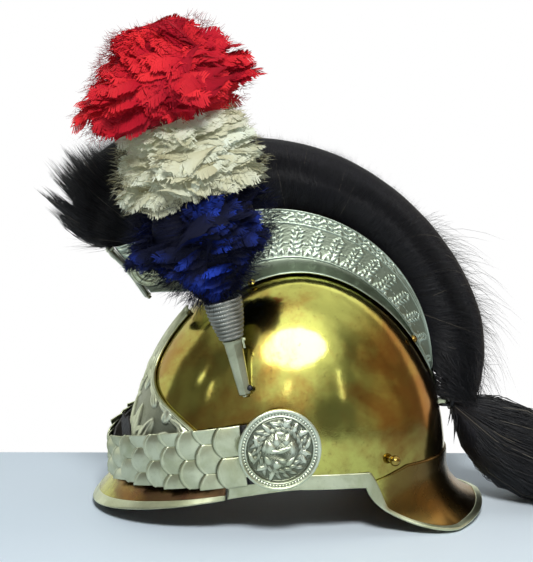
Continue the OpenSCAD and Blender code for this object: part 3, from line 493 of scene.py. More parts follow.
def insideBowl(p, grow):
    z = p[..., 2]
    w = np.maximum(bowlWidth(z, grow), 1e-6)
    l = np.maximum(bowlLength(z, grow), 1e-6)
    return (z + bowl["drop"] < crownHeight + grow) & ((p[..., 0] / w) ** 2 + (p[..., 1] / l) ** 2 < 1)


def leaveBowl(start, way, grow, far):  # how far along the way the bowl's surface lies
    near = np.zeros(start.shape[:-1])
    far = near + far
    for halving in range(24):
        middle = (near + far) / 2
        within = insideBowl(start + way * col(middle), grow)
        near = np.where(within, middle, near)
        far = np.where(within, far, middle)
    return (near + far) / 2


def sideOfBowl(y, z, grow=0.0):
    start = vec(np.asarray(y) * 0.0, y, z)
    return leaveBowl(start, vec(np.ones(start.shape[:-1]), 0.0, 0.0), grow, 120.0)


def bowlNormal(p):
    def level(q):
        return (q[..., 0] / bowlWidth(q[..., 2])) ** 2 + (q[..., 1] / bowlLength(q[..., 2])) ** 2
    steps = np.eye(3) * 0.5
    return unit(np.stack([level(p + s) - level(p - s) for s in steps], axis=-1))


def bowlShell(u, v):
    rim = 0.02
    outer = clamp((v - 0.5 - rim) / (0.5 - rim))
    inner = clamp((0.5 - rim - v) / (0.5 - rim))
    grow = -bowl["sheet"] * clamp((0.5 + rim - v) / (2 * rim))
    start = np.arcsin(bowl["drop"] / (crownHeight + grow))
    angle = mix(start, np.pi / 2, np.maximum(outer, inner))
    return bowlPoint(360 * u, (crownHeight + grow) * np.sin(angle) - bowl["drop"], grow)


savePiece("bowl_shell", shell(150, 100, bowlShell), brass, "helmet", ["bowl"])

# visor, its edging and lining
visor = dict(out=28.5, down=35.0, half=63.0, endDown=11.0, bend=0.05, round=0.3, lap=6.0, fold=0.88, gap=0.2,
             edge=8.0, endEdge=3.0, liningIn=4.0, liningDrop=0.35)
edging = dict(gap=0.2, lip=0.8, back=3.0, sheet=0.8)  # a strip folded over a sheet's rim
turnStep = 0.3  # degrees to each side, for a slope along a rim


def outWay(turn):
    return unit(vec(sinD(turn) * bowl["halfLength"], -cosD(turn) * bowl["halfWidth"], 0.0))


def hook(a):
    return np.sqrt(a * a + visor["round"] ** 2) - visor["round"]


def visorFall(turn):  # 0 at the ends, 1 at the front
    return 1 - hook(turn / visor["half"]) / hook(1.0)


def visorPoint(turn, v):  # v runs from the bowl out to the rim
    across = mix(v, sinD(90 * v), visor["bend"])
    down = mix(v, 1 - cosD(90 * v), visor["bend"])
    rimZ = -visor["endDown"] - (visor["down"] - visor["endDown"]) * visorFall(turn)
    reach = 1 + (visor["out"] - 1) * (1 - np.abs(turn / visor["half"]) ** 1.9)
    p = bowlPoint(turn, np.zeros_like(turn), visor["gap"]) + outWay(turn) * col(reach * across)
    return p + vec(0.0, 0.0, rimZ * down)


def alongVisor(turn, v):
    return visorPoint(turn + turnStep, v) - visorPoint(turn - turnStep, v)


def visorSheet(u, w):
    turn = mix(-visor["half"], visor["half"], u)
    fold = visor["fold"]  # past this share the sheet lies against the bowl
    low = visorPoint(turn, clamp(1 - w / fold))
    high = bowlPoint(turn, visor["lap"] * clamp((w - fold) / (1 - fold)), visor["gap"])
    return np.where(col(w > fold), high, low)


def acrossPath(points, f):  # a point along a few points, f from 0 to 1
    last = len(points) - 1
    out = points[0] * 0
    for i, p in enumerate(points):
        out = out + p * col(clamp(1 - np.abs(clamp(f) * last - i)))
    return out


def uEdging(rim, inWay, inNormal, upWay, outNormal, width, thick):
    # path over a sheet's rim: up the inside, round the rim and up the outside
    gap, lip = edging["gap"], edging["gap"] + edging["lip"]
    half = thick / 2 + gap
    return [rim - inNormal * half + inWay * edging["back"], rim - inNormal * half - inWay * gap,
            rim - inNormal * half * 0.6 - inWay * lip, rim + outNormal * half * 0.6 - upWay * lip,
            rim + outNormal * half - upWay * gap, rim + outNormal * half + upWay * col(width * 0.5),
            rim + outNormal * half + upWay * col(width)]


def visorMiddle(turn, v, step=0.01):  # half way through the sheet
    up = visorPoint(turn, v - step) - visorPoint(turn, v + step)
    return visorPoint(turn, v) + unit(np.cross(alongVisor(turn, v), up)) * bowl["sheet"] / 2


def visorEdging(u, f):
    turn = mix(-visor["half"], visor["half"], u)
    one = np.ones_like(turn)
    rim = visorMiddle(turn, one)
    up = unit(visorMiddle(turn, one * 0.94) - rim)
    normal = unit(np.cross(alongVisor(turn, one), up))
    width = mix(visor["endEdge"], visor["edge"], visorFall(turn))
    return acrossPath(uEdging(rim, up, normal, up, normal, width, bowl["sheet"]), 1 - f)


def visorLining(u, w):
    turn = mix(-0.95, 0.95, u) * visor["half"]
    one = np.ones_like(turn)
    reach = np.linalg.norm(visorPoint(turn, one) - visorPoint(turn, one * 0), axis=-1)
    p = visorPoint(turn, mix(1.0, 0.1, w) * (1 - visor["liningIn"] / reach))
    up = visorPoint(turn, one * 0.45) - visorPoint(turn, one * 0.55)
    return p - unit(np.cross(alongVisor(turn, one * 0.5), up)) * visor["liningDrop"]


savePiece("visor_sheet", skin(130, 34, visorSheet), visorBrass, "helmet", ["visor"], bowl["sheet"], 1.0)
savePiece("visor_edging", skin(130, 24, visorEdging), silver, "helmet", ["visor_edge"], edging["sheet"], 1.0)
savePiece("visor_leather", skin(70, 14, visorLining), blackLeather, "helmet", ["visor_lining"], sheet=1.0)

# neck guard and the band that edges it; dip and guardRimZ follow its rim round the back
guard = dict(out=31.0, down=38.0, half=66.0, lap=13.0, fold=0.8, dipStart=68.0, dipFull=36.0, steep=0.3,
             flare=1.13, rise=8.0, bend=0.75, gap=0.2, band=11.0, level=88.7, edge=4.5)


def backTurn(turn):
    return np.abs(180 - turn)


def dip(turn):  # 0 at the sides, 1 over the back
    share = clamp((backTurn(turn) - guard["dipFull"]) / (guard["dipStart"] - guard["dipFull"]))
    return 0.5 + 0.5 * cosD(180 * share)


def guardRimZ(turn):
    rise = guard["rise"] * clamp(1 - backTurn(turn) / guard["dipFull"])
    return rise - guard["down"] * dip(turn) ** guard["steep"]


def frontDip(turn):  # the band falls towards the visor's end
    share = (guard["level"] - 180 + backTurn(turn)) / (guard["level"] - visor["half"])
    return visor["endDown"] * clamp(share) ** 1.4


def guardPoint(turn, v):
    reach = 0.6 + guard["out"] * dip(turn) ** guard["flare"]
    p = bowlPoint(turn, np.zeros_like(turn), guard["gap"])
    p = p + outWay(turn) * col(reach * mix(v, 1 - cosD(90 * v), guard["bend"]))
    return p + vec(0.0, 0.0, guardRimZ(turn) * mix(v, sinD(90 * v), guard["bend"]))


def guardSheet(u, w):
    turn = 180 + mix(-guard["half"], guard["half"], u)
    fold = guard["fold"]
    top = guard["lap"] * clamp((guard["half"] + 4 - backTurn(turn)) / 20, 0.12, 1)
    low = guardPoint(turn, clamp(1 - w / fold))
    high = bowlPoint(turn, top * clamp((w - fold) / (1 - fold)), guard["gap"])
    return np.where(col(w > fold), high, low)


def ontoGuard(turn, past):  # 0 on the bowl's rim, 1 on the guard's, from some degrees past its end
    return clamp((guard["half"] + past - backTurn(turn)) / 7)


def rimAt(turn):
    one = np.ones_like(turn)
    own = bowlPoint(turn, one * 0) + vec(0.0, 0.0, guardRimZ(turn) - frontDip(turn))
    return mix(own, guardPoint(turn, one), col(ontoGuard(turn, 8)))


def rimBand(u, f):
    end = visor["half"] + 0.6
    turn = mix(end, 360 - end, u)
    one = np.ones_like(turn)
    over = ontoGuard(turn, 8)
    rim = rimAt(turn)
    reach = np.linalg.norm(guardPoint(turn, one) - guardPoint(turn, one * 0), axis=-1)
    edgeTop = guardPoint(turn, 1 - guard["edge"] / reach)
    top = mix(bowlPoint(turn, one * guard["band"]), edgeTop, col(ontoGuard(turn, 1)))
    normal = unit(np.cross(rimAt(turn + 1) - rimAt(turn - 1), top - rim))
    inward = unit(guardPoint(turn, one * 0.9) - guardPoint(turn, one))
    outNormal = unit(np.cross(guardPoint(turn + 1, one) - guardPoint(turn - 1, one), inward))
    up = unit(top - rim)
    width = np.linalg.norm(top - rim, axis=-1)
    thick = col(bowl["sheet"] + mix(0.2, 0.7, over))
    rim = rim + normal * col(mix(-1.0, 1.0, over)) * bowl["sheet"] / 2
    path = uEdging(rim, unit(mix(up, inward, col(over))), unit(mix(normal, outNormal, col(over))), up, normal,
                   width, thick)
    return acrossPath(path, 1 - f)


savePiece("neck_guard_sheet", skin(150, 34, guardSheet), guardBrass, "helmet", ["neck_guard"], bowl["sheet"],
          1.0)
savePiece("rim_edging", skin(340, 24, rimBand), silver, "helmet", ["rim_band"], edging["sheet"], 1.0)
print("bowl, visor and neck guard made")


# relief parts: domes and leaves that add up to a chased surface
def leaf(x, y, atX, atY, length, width, turn, high, vein=0.35):
    dx, dy = x - atX, y - atY
    along = (dx * cosD(turn) + dy * sinD(turn)) / length
    side = (-dx * sinD(turn) + dy * cosD(turn)) / (width * (1.05 - 0.5 * clamp(along, -1, 1)))
    dome = np.sqrt(clamp(1 - along ** 2 - side ** 2))
    return high * dome * (1 - vein * np.exp(-(side / 0.22) ** 2))


def ball(x, y, atX, atY, r, high):
    return high * np.sqrt(clamp(1 - ((x - atX) ** 2 + (y - atY) ** 2) / r ** 2))


def ridge(distance, width, high):
    return high * np.sqrt(clamp(1 - (distance / width) ** 2))


def strongest(parts):
    return np.maximum.reduce([np.asarray(p, float) for p in parts])


def grainOf(u, v, high, seed):
    return high * np.random.RandomState(seed).rand(*np.shape(u))


# crest flanks: angle a runs from the back up and over to the front
crest = dict(radius=136.0, forward=19.0, up=73.0, foot=35.0, half=12.5, prowReach=29.0, prowFrom=112.0,
             tipForward=119.0, tipUp=139.0, first=2.0, last=142.0, narrow=0.62, prowMore=3.0, bead=0.24,
             beadIn=0.72, tailSpan=40.0, sheet=1.0, sink=1.4, proud=1.0)
crestCentre = vec(0.0, -crest["forward"], crest["up"])


def crestWay(a):
    return vec(0.0 * a, cosD(a), sinD(a))


def prowShare(a):  # 0 up to where the prow begins, 1 at its tip
    return clamp((a - crest["prowFrom"]) / (crest["last"] - crest["prowFrom"]))


def tailShare(a):  # 0 at the low rear end, 1 where the crest has its full width
    return np.sqrt(clamp((a - crest["first"]) / crest["tailSpan"]))


def topRadius(a):
    past = clamp(a - crest["prowFrom"], 0, 99) / (crest["last"] - crest["prowFrom"])
    return crest["radius"] + crest["prowReach"] * past ** 2


def topPoint(a):
    return crestCentre + crestWay(a) * col(topRadius(a))


def footX(a):
    narrowed = crest["foot"] * mix(crest["narrow"], 1, tailShare(a))
    return mix(narrowed, crest["half"] + crest["prowMore"], prowShare(a))


def topX(a):
    return crest["half"] * mix(crest["narrow"], 1, tailShare(a))


def footPoint(a):
    held = np.minimum(a, crest["prowFrom"])
    start = vec(footX(held), -crest["forward"], crest["up"])
    far = leaveBowl(start, crestWay(held), crest["sink"], crest["radius"] - 1)
    prow = vec(footX(a), -crest["tipForward"], crest["tipUp"])
    return mix(start + crestWay(held) * col(far), prow, col(prowShare(a)))


def flankPoint(a, v):
    f, t = footPoint(a), topPoint(a)
    x0, x1 = f[..., 0], topX(a)
    xb = mix(x0, x1, crest["beadIn"])
    low = mix(x0, xb, sinD(90 * clamp(v / crest["bead"])))
    high = mix(xb, x1, clamp((v - crest["bead"]) / (1 - crest["bead"])) ** 0.8)
    p = mix(f, t, col(v))
    p[..., 0] = np.where(v < crest["bead"], low, high)
    return p


def flankBase(u, v):  # u from the front to the back on the left side
    return flankPoint(mix(crest["last"], crest["first"], clamp(u, -0.01, 1.01)), clamp(v, 0, 1.0))


# the chasing: stalks of leaves in cells along the flank, under a frieze of curling leaves
chasing = dict(radius=116.0, cell=17.0, offset=5.0, tiers=5, swing=12.0, curl=22.0,
               friezeAt=[2, 20, 38, 70, 142], friezeTall=[2.4, 4.0, 6.5, 13.0, 14.5])
friezeLeaves = ((1.6, -0.28, 40), (4.4, -0.3, -30), (7.6, 0.26, 140), (10.4, 0.28, 210), (3.0, 0.2, 60),
                (9.0, -0.2, 240))


def stalkParts(c, y, panel):  # one stalk's parts, c across its cell and y up its panel
    k = clamp(panel / 30.0, 0.25, 1.1)
    room = smooth(panel, 3, 9)
    parts = [ridge(c - 1.0 * np.sin(y * 0.24), 0.7, 0.55) * (y > 0) * (y < 0.76 * panel) * room]
    for step in range(chasing["tiers"]):
        at = (4.0 + 4.6 * step) * k
        size = (3.4 - 0.35 * step) * k
        for s in (-1, 1):
            out = s * (2.4 + 0.2 * step) * k
            parts.append(leaf(c, y, out, at + 1.2 * k * (s > 0), size, size * 0.42, 90 - s * 38, 0.95) * room)
    for dx, dy in ((0, 1.9), (-1.7, 0), (1.7, 0)):
        parts.append(ball(c, y, dx * k, (0.84 * panel + dy * k), 1.15 * k, 0.9) * room)
    for s in (-1, 1):
        parts.append(leaf(c, y, s * 5.6 * k, 4.6 * k, 4.4 * k, 1.2 * k, 90 + s * 14, 0.7) * room)
        parts.append(ball(c, y, s * 6.9 * k, 12.5 * k, 0.8 * k, 0.6) * room)
    return parts


def friezeParts(along, down, frieze):
    swing = chasing["swing"]
    wide = smooth(frieze, 4, 9)
    wave = frieze * 0.55 + frieze * 0.17 * np.sin(along * 2 * np.pi / swing)
    parts = [ridge(down - wave, 0.8, 0.7) * wide]
    for at, side, turn in friezeLeaves:
        shift = (along % swing - at + swing / 2) % swing - swing / 2
        parts.append(leaf(shift, down, 0.0, frieze * (0.55 + side), 2.2, 0.95, turn, 0.9) * wide)
        parts.append(ball(shift, down, 1.4, frieze * (0.55 - side * 0.6), 0.75, 0.7) * wide)
    parts.append(ridge(down - 0.7, 1.0, 0.75))
    parts.append(ridge(down - frieze, 0.75, 0.7) * smooth(frieze, 2, 4))
    parts.append(ridge(down - frieze * 0.55, 0.6, 0.5) * (1 - wide) * smooth(frieze, 2, 4))
    return parts


def footParts(a, along, low, beadAt):  # ridges along the bead, and the curls on it
    across = along % chasing["curl"] - chasing["curl"] / 2
    curl = ball(across, low, 0.0, beadAt * 0.5, beadAt * 0.42 + 0.01, 1.0)
    return [ridge(low - beadAt, 0.9, 0.95), ridge(low - beadAt - 2.6, 0.5, 0.4) * (1 - smooth(a, 55, 75)),
            ridge(low - 0.6, 0.8, 0.5), 0.35 * np.sin(curl * 9) ** 2 * smooth(beadAt, 5, 10) * 0.6]


def crestRelief(u, v):
    a = mix(crest["last"], crest["first"], u)
    tall = np.linalg.norm(topPoint(a) - footPoint(a), axis=-1)
    along = np.radians(crest["last"] - a) * chasing["radius"]
    down = (1 - v) * tall
    low = v * tall
    frieze = np.interp(a, chasing["friezeAt"], chasing["friezeTall"])
    beadAt = crest["bead"] * tall
    cell = chasing["cell"]
    across = (along + chasing["offset"]) % cell - cell / 2
    parts = [0.0 * u] + stalkParts(across, low - beadAt, np.maximum(tall - frieze - beadAt, 0.0))
    parts += friezeParts(along, down, frieze) + footParts(a, along, low, beadAt)
    ground = grainOf(u, v, 0.16, 3) * (low > beadAt + 1) * (down > 1.6)
    return strongest(parts) + ground - 0.12 * (down > 1.6) * (low > 1.2)


for name, side in sides:
    bm = newGrid(330, 96)
    u, v = gridShares(bm)
    lift = crestRelief(u, v)
    edge = np.minimum(np.minimum(u, 1 - u) * 100, 1)  # no relief at the two ends
    moveVerts(bm, raised(flankBase, lambda u, v: crest["proud"] + lift * edge)(u, v))
    savePiece(f"{name}_crest_flank", toSide(bm, side), engraved, "helmet", [f"crest_{name}"], crest["sheet"],
              relief=lift)
print("crest flanks made")

# crest prow: a chased front piece between two volutes; its path is given as places (y, z)
mask = dict(wide=17.1, chaseWide=17.0, chaseTall=52.0, discAt=(16.7, -121.5, 159.8), disc=15.5, back=0.6,
            coil=3.7, sheet=2.6)
maskPath = np.array([[-119.8, 132.5], [-122.0, 135.0], [-132.5, 149.6], [-141.5, 160.4], [-150.0, 167.6],
                     [-154.0, 172.6], [-150.6, 175.6]])


def maskBase(u, v):
    steps = np.linspace(0, 1, len(maskPath))
    y, z = (np.interp(clamp(v), steps, maskPath[:, i]) for i in (0, 1))
    belly = 1.6 * (1 - (2 * clamp(u) - 1) ** 2)
    wide = mask["wide"] * mix(0.45, 1, smooth(v, 0.0, 0.3))
    return vec(wide * (2 * u - 1), y - belly, z - belly * 0.5)


def maskRelief(u, v):
    x, y = np.abs(2 * u - 1) * mask["chaseWide"], v * mask["chaseTall"]
    parts = [ridge(x, 0.9, 1.0) * smooth(v, 0.1, 0.3)]
    for at, reach, turn in ((6, 8, 62), (13, 11, 52), (21, 12, 44), (30, 11, 38), (38, 9, 30)):
        parts.append(leaf(x, y, 5.5, at + 4, reach, 2.3, turn, 1.1))
    parts.append(ball(x, y, 0.0, 46, 4.4, 1.4))
    return strongest(parts)


def voluteFace(r, turn):
    phase = (r / mask["coil"] - turn / 360) % 1 - 0.5
    coil = ridge(phase * mask["coil"], 1.25, 1.2) * smooth(r, 2.6, 3.4)
    return 1.5 + np.maximum(coil, ball(r, 0 * r, 0, 0, 2.8, 1.8)) * smooth(mask["disc"] - r, 0, 1.2)


def saveChased(name, columns, rows, base, height, stands, sheet, finish=chased):  # a relief on a base surface
    bm = newGrid(columns, rows)
    u, v = gridShares(bm)
    moveVerts(bm, raised(base, height)(u, v))
    savePiece(name, bm, finish, "helmet", stands, sheet, relief=height(u, v))


saveChased("crest_prow_face", 70, 100, maskBase, maskRelief, ["crest_mask"], mask["sheet"])
for name, side in reversed(sides):
    volute = disc(mask["disc"], mask["back"], voluteFace, (96, 60))
    savePiece(f"prow_volute_{name}", sideways(volute, side, *mask["discAt"]), silver, "helmet")

# front plate
plate = dict(wide=82.0, narrow=10.0, waist=56.0, low=7.5, top=124.0, soft=10.0, grow=1.9, sheet=1.2, bead=1.5)
# two rows of leaves that fan out from the foot: each one's place, reach, width and turn
plateFans = {17.0: ((0, 34, 6.5, 90), (13, 30, 6.2, 76), (26, 25, 6.0, 62), (39, 20, 5.4, 50),
                    (52, 16, 4.8, 38), (64, 12, 4.2, 28)),
             9.0: ((6, 13, 4.6, 66), (20, 13, 4.6, 54), (33, 12, 4.4, 44), (46, 11, 4.0, 36),
                   (58, 10, 3.8, 28), (70, 9, 3.2, 20))}


def plateHalf(z):
    return mix(plate["narrow"], plate["wide"], 1 / (1 + np.exp((z - plate["waist"]) / plate["soft"])))


def plateBase(u, v):
    z = mix(plate["low"], plate["top"], v)
    angle = np.degrees(np.arcsin(np.minimum(plateHalf(z) / bowlWidth(z), 0.9)))
    return bowlPoint(mix(-1, 1, u) * angle, z, plate["grow"])


def fanParts(x, z):
    parts = []
    for base, fans in plateFans.items():
        for at, reach, wide, turn in fans:
            out = reach * 0.5
            leafX, leafZ = at + out * cosD(turn), base + out * sinD(turn)
            parts.append(leaf(x, z, leafX, leafZ, reach * 0.62, wide, turn, 2.2))
            for lobe in (-1, 1):  # curled lobes at a leaf's sides
                lobeX, lobeZ = leafX + lobe * wide * 0.75, base + out * 0.75 * sinD(turn)
                parts.append(leaf(x, z, lobeX, lobeZ, reach * 0.3, wide * 0.42, turn - lobe * 42, 1.7))
            parts.append(ball(x, z, at + 2, base - 1.5, 1.8, 1.4))
    return parts


def plateRelief(u, v):
    z = mix(plate["low"], plate["top"], v)
    half = plateHalf(z)
    x = np.abs(2 * u - 1) * half
    parts = [0.0 * u] + fanParts(x, z)
    for step in range(10):  # leaves up the border, where the plate is wide enough
        at = 7 + 10.0 * step
        edge = float(plateHalf(np.array(at)))
        if edge > 16:
            parts.append(leaf(x, z, edge - 9, at, 8.0, 3.4, 66 + 46 * (step % 2), 2.3))
            parts.append(leaf(x, z, edge - 13, at + 5, 6.4, 2.6, 152, 2.0))
            parts.append(ball(x, z, edge - 7.5, at + 5, 1.5, 1.5))
    for step in range(5):  # pairs of leaves up the narrow middle
        at = 57 + 13.5 * step
        parts.append(leaf(x, z, 4.0, at + 3, 7.0, 2.8, 58, 1.7))
        parts.append(leaf(x, z, 6.0, at - 3.5, 4.4, 2.0, 20, 1.4))
        parts.append(ball(x, z, 0.0, at + 6.5, 2.0, 1.6))
    parts.append(ridge(x, 1.0, 1.1) * (z > 44))
    inner = half - x
    parts.append(ridge(inner - 1.4, 1.4, 1.9))
    parts.append(ridge(inner - 4.6, 0.7, 1.0))
    parts.append(ridge(z - plate["low"] - 1.4, 1.3, 1.6))
    parts.append(ridge(z - plate["top"] + 1.4, 1.3, 1.6))
    return strongest(parts) + grainOf(u, v, 0.12, 5)


def plateBead(u, v):  # a half round wire along the plate's border, one side of it
    up = mix(0.02, 0.985, v)
    rim = plateBase(1.0 + 0 * u, up)
    out = unit(rim - plateBase(0.97 + 0 * u, up))
    normal = unit(np.cross(plateBase(1.0 + 0 * u, up + 0.01) - rim, out))
    normal = np.where(col(normal[:, 0] < 0), -normal, normal)
    end = np.sqrt(clamp(np.minimum(v, 1 - v) / 0.01))
    roundWay = out * col(cosD(360 * u)) + normal * col(sinD(360 * u))
    return rim + out * 1.0 + roundWay * col(plate["bead"] * end)


saveChased("front_plate_relief", 210, 160, plateBase, plateRelief, ["front_plate"], plate["sheet"], plated)
savePiece("front_plate_bead", mirroredPair(lambda: shell(12, 120, plateBead)), silver, "helmet")

# studs, ball studs and the tail's leaf
studs = dict(size=7.0, seat=1.5, sheet=1.4, angles=(16.0, 105.0))
balls = dict(size=8.5, y=70.0, z=19.0, seat=0.15)


def crestStud(angle):
    a = np.array([angle])
    start = vec(footX(a), -crest["forward"], crest["up"])
    spot = (start + crestWay(a) * col(leaveBowl(start, crestWay(a), studs["sheet"], crest["radius"] - 1)))[0]
    normal = bowlNormal(np.array([spot]))[0]
    r = studs["size"] / 2
    profile = [(0, 0), (r * 0.98, 0), (r, 0.5)] + domeProfile(r, -0.6, 20, 9)
    return standing(lathe(profile), spot + normal * studs["seat"], normal)


def ballStud():
    y, z = np.array([balls["y"]]), np.array([balls["z"]])
    spot = vec(sideOfBowl(y, z), y, z)[0]
    normal = bowlNormal(np.array([spot]))[0]
    r = balls["size"] / 2
    profile = [(0, 0), (r * 0.7, 0), (r * 0.72, 0.5), (r * 0.5, 0.9), (r * 0.48, 1.9)]
    profile += domeProfile(r, 2 + r * 0.7, -58, 20)
    return standing(lathe(profile), spot + normal * balls["seat"], normal)


heads = [mirroredPair(lambda: crestStud(angle)) for angle in studs["angles"]]
savePiece("crest_stud_heads", together(heads), brass, "helmet", ["crest_studs"])
savePiece("rear_ball_studs", mirroredPair(ballStud), brass, "helmet", ["rear_studs"])

tail = dict(foot=54.0, footHalf=1.35, topHalf=4.5, proud=3.2, gap=0.3, sheet=1.2)


def tailBase(u, v):
    across = 2 * u - 1
    z = mix(tail["foot"], float(footPoint(np.array([crest["first"]]))[0, 2]) - 1, v)
    half = mix(tail["footHalf"], tail["topHalf"], v) * (1 + 0.25 * sinD(180 * clamp((v - 0.55) / 0.45)))
    out = tail["proud"] * (1 - 0.75 * across ** 2) * mix(1.3, 1, v)
    return bowlPoint(180 + 0 * u, z, tail["gap"]) + vec(-half * across, out, 0.0)


def tailRelief(u, v):
    across = (2 * u - 1) * 4
    return ridge(across, 0.8, 0.5) + leaf(np.abs(across), v * 20, 2, 14, 6, 1.5, 70, 0.5)


saveChased("crest_tail_leaf", 24, 48, tailBase, tailRelief, ["crest_tail"], tail["sheet"])
print("front plate, prow, tail and studs made")

# hair: tapered strands, three sided, with a few bends
hair = dict(rows=3, brushStrands=15000, brushThick=0.2, wisps=460, wispThick=0.17, endHair=1500, endThick=0.3,
            maneStrands=5200, maneThick=0.4, tipThick=0.35)


def strandTemplate(rings):  # a triangular tube whose last ring is its tip
    bm = bmesh.new()
    bmesh.ops.create_circle(bm, segments=3, radius=1.0, cap_ends=True)
    edge = list(bm.edges)
    for ring in range(1, rings):
        made = bmesh.ops.extrude_edge_only(bm, edges=edge)["geom"]
        edge = [e for e in made if isinstance(e, bmesh.types.BMEdge) and len(e.link_faces) == 1]
        fresh = [g for g in made if isinstance(g, bmesh.types.BMVert)]
        for vertex in fresh:
            vertex.co.z = ring
            if ring == rings - 1:
                vertex.co.x = vertex.co.y = 0.0
    bmesh.ops.remove_doubles(bm, verts=[v for v in bm.verts if v.co.z == rings - 1], dist=0.001)
    bmesh.ops.recalc_face_normals(bm, faces=bm.faces)
    return bm


def strands(name, paths, thick, shade, body="helmet", finish=horsehair):
    # paths: (count, rings, 3) points along each strand
    count, rings = paths.shape[:2]
    template = strandTemplate(rings)
    local = spotsOf(template)
    ring = np.rint(local[:, 2]).astype(int)
    way = unit(paths[:, -1] - paths[:, 0])
    side = unit(np.cross(way, np.array([0.31, 0.22, 0.93])))
    other = np.cross(way, side)
    taper = np.linspace(1, hair["tipThick"], rings)[ring]
    cross = (local[:, 0] * taper)[None, :, None] * side[:, None]
    cross = cross + (local[:, 1] * taper)[None, :, None] * other[:, None]
    savePiece(name, repeat(template, count), finish, body, points=paths[:, ring] + cross * thick,
              shades=np.repeat(shade, len(local)))


def bent(root, middle, tip, rings):  # quadratic curve through three points each
    t = np.linspace(0, 1, rings)[None, :, None]
    return root[:, None] * (1 - t) ** 2 + middle[:, None] * 2 * t * (1 - t) + tip[:, None] * t ** 2


# brush: angles as on the crest, and x from -1 to 1 across it; the outline is (angle, height)
brush = dict(first=2.6, last=141.0, half=19.0, middle=70.0, back=10.0, forward=4.0, slice=-0.4)
brushOutline = np.array([[-8, 47], [5, 52], [15, 53], [25, 51], [37, 49], [49, 49], [62, 51], [85, 58],
                         [94, 61], [112, 86], [131, 116], [138, 115], [143, 92], [146, 70]], float)


def brushTipAngle(a):
    f = (a - brush["middle"]) / brush["middle"]
    return a + np.where(f < 0, -brush["back"] * clamp(-f, 0, 2) ** 1.6, brush["forward"] * f)


def brushBase(a, x, up):
    return topPoint(a) + vec(x * (topX(a) - 0.8), 0.0, 0.0) + crestWay(a) * col(brush["slice"] + up)


def brushTip(a, x, longer=1.0):
    e = brushTipAngle(a)
    tall = np.interp(e, brushOutline[:, 0], brushOutline[:, 1]) * longer
    wide = brush["half"] * mix(0.85, 1.05, prowShare(a))
    reach = (crest["radius"] + tall) * (1 - 0.06 * x * x)
    return crestCentre + vec(x * wide, 0.0, 0.0) + crestWay(e) * col(reach)


def brushCore(u, v):  # a little smaller than the hair, closed at its ends
    close = clamp(np.minimum(u, 1 - u) / 0.02)
    a = mix(brush["last"] - 0.8, brush["first"] + 0.8, clamp((u - 0.02) / 0.96))
    turn = 360 * v
    x = clamp(1.3 * cosD(turn), -1, 1) * close * 0.9
    up = 0.5 + 0.5 * clamp(1.3 * sinD(turn), -1, 1) * close
    return mix(brushBase(a, x, 1.5), brushTip(a, x, mix(0.93, 0.74, smooth(a, 112, 136))), col(up))


def brushHair(part):
    rng = np.random.RandomState(11 + part)
    count = hair["brushStrands"]
    a = rng.uniform(brush["first"] - 0.3, brush["last"] + 0.4, count)
    x = rng.uniform(-1, 1, count)
    x = np.where(rng.rand(count) < 0.25, np.sign(x) * (1 - 0.08 * rng.rand(count)), x)  # more at the faces
    tuft = np.random.RandomState(4).uniform(0.95, 1.03, 900)[(a * 3).astype(int) % 900]
    loose = (rng.rand(count) < 0.03 + 0.08 * (a > 118)) & (a > 9)
    longer = np.where(loose, rng.uniform(0.9, 1.1, count), rng.uniform(0.9, 1.02, count) * tuft)
    stray = np.where(loose, 2.2, 0.35)
    root = brushBase(a, x * 0.97, 0.6)
    longer = longer * mix(1, 0.86, smooth(a, 116, 138))  # shorter at the front, behind the loose locks
    tip = brushTip(a + rng.normal(0, 1, count) * stray * 1.1, x * rng.uniform(0.96, 1.05, count), longer)
    tip += rng.normal(0, 1, (count, 3)) * col(stray) * 0.9
    middle = (root + tip) / 2 + rng.normal(0, 1, (count, 3)) * col(stray) * 0.8
    middle[:, 1] += 1.5 * (a > 100)
    # loose strands are paler: painted glints
    shade = clamp(rng.beta(2, 3, count) * 0.9 + loose * rng.uniform(0.0, 0.5, count))
    strands(f"brush_hair_{part + 1}", bent(root, middle, tip, 3), hair["brushThick"], shade)


frontLocks = dict(count=64, each=20, thick=0.5, sag=10.0, droop=6.0)
frontTips = np.array([[-168, 258], [-182, 261], [-195, 257], [-205, 249], [-212, 238], [-214, 222],
                      [-207, 207], [-196, 193]], float)  # (y, z) places along which the locks end


def brushFront():
    rng = np.random.RandomState(31)
    lock = np.repeat(np.arange(frontLocks["count"]), frontLocks["each"])
    count = len(lock)
    place = rng.uniform(0, 1, frontLocks["count"])[lock]
    reach = rng.uniform(0.84, 1.0, frontLocks["count"])[lock]
    x = rng.uniform(-0.9, 0.9, frontLocks["count"])[lock]
    spread = rng.normal(0, 1, (count, 3))
    steps = np.linspace(0, 1, len(frontTips))
    y, z = (np.interp(place, steps, frontTips[:, i]) for i in (0, 1))
    root = brushBase(mix(118, brush["last"], np.sqrt(place)) + rng.normal(0, 1.5, count), x * 0.9, 1.0)
    far = col(reach * rng.uniform(0.82, 1.0, count))
    tip = mix(root, vec(x * brush["half"], y, z), far) + spread * 0.75
    sag = col((1 - place) * frontLocks["droop"] + frontLocks["sag"])
    middle = mix(root, tip, 0.55) + np.array([0.0, -0.35, -0.75]) * sag + spread * 0.9
    # some strands are paler: painted glints
    shade = clamp(rng.beta(2, 3, count) * 0.8 + 0.5 * (rng.rand(count) < 0.14))
    strands("brush_front_locks", bent(root, middle, tip, 6), frontLocks["thick"], shade)


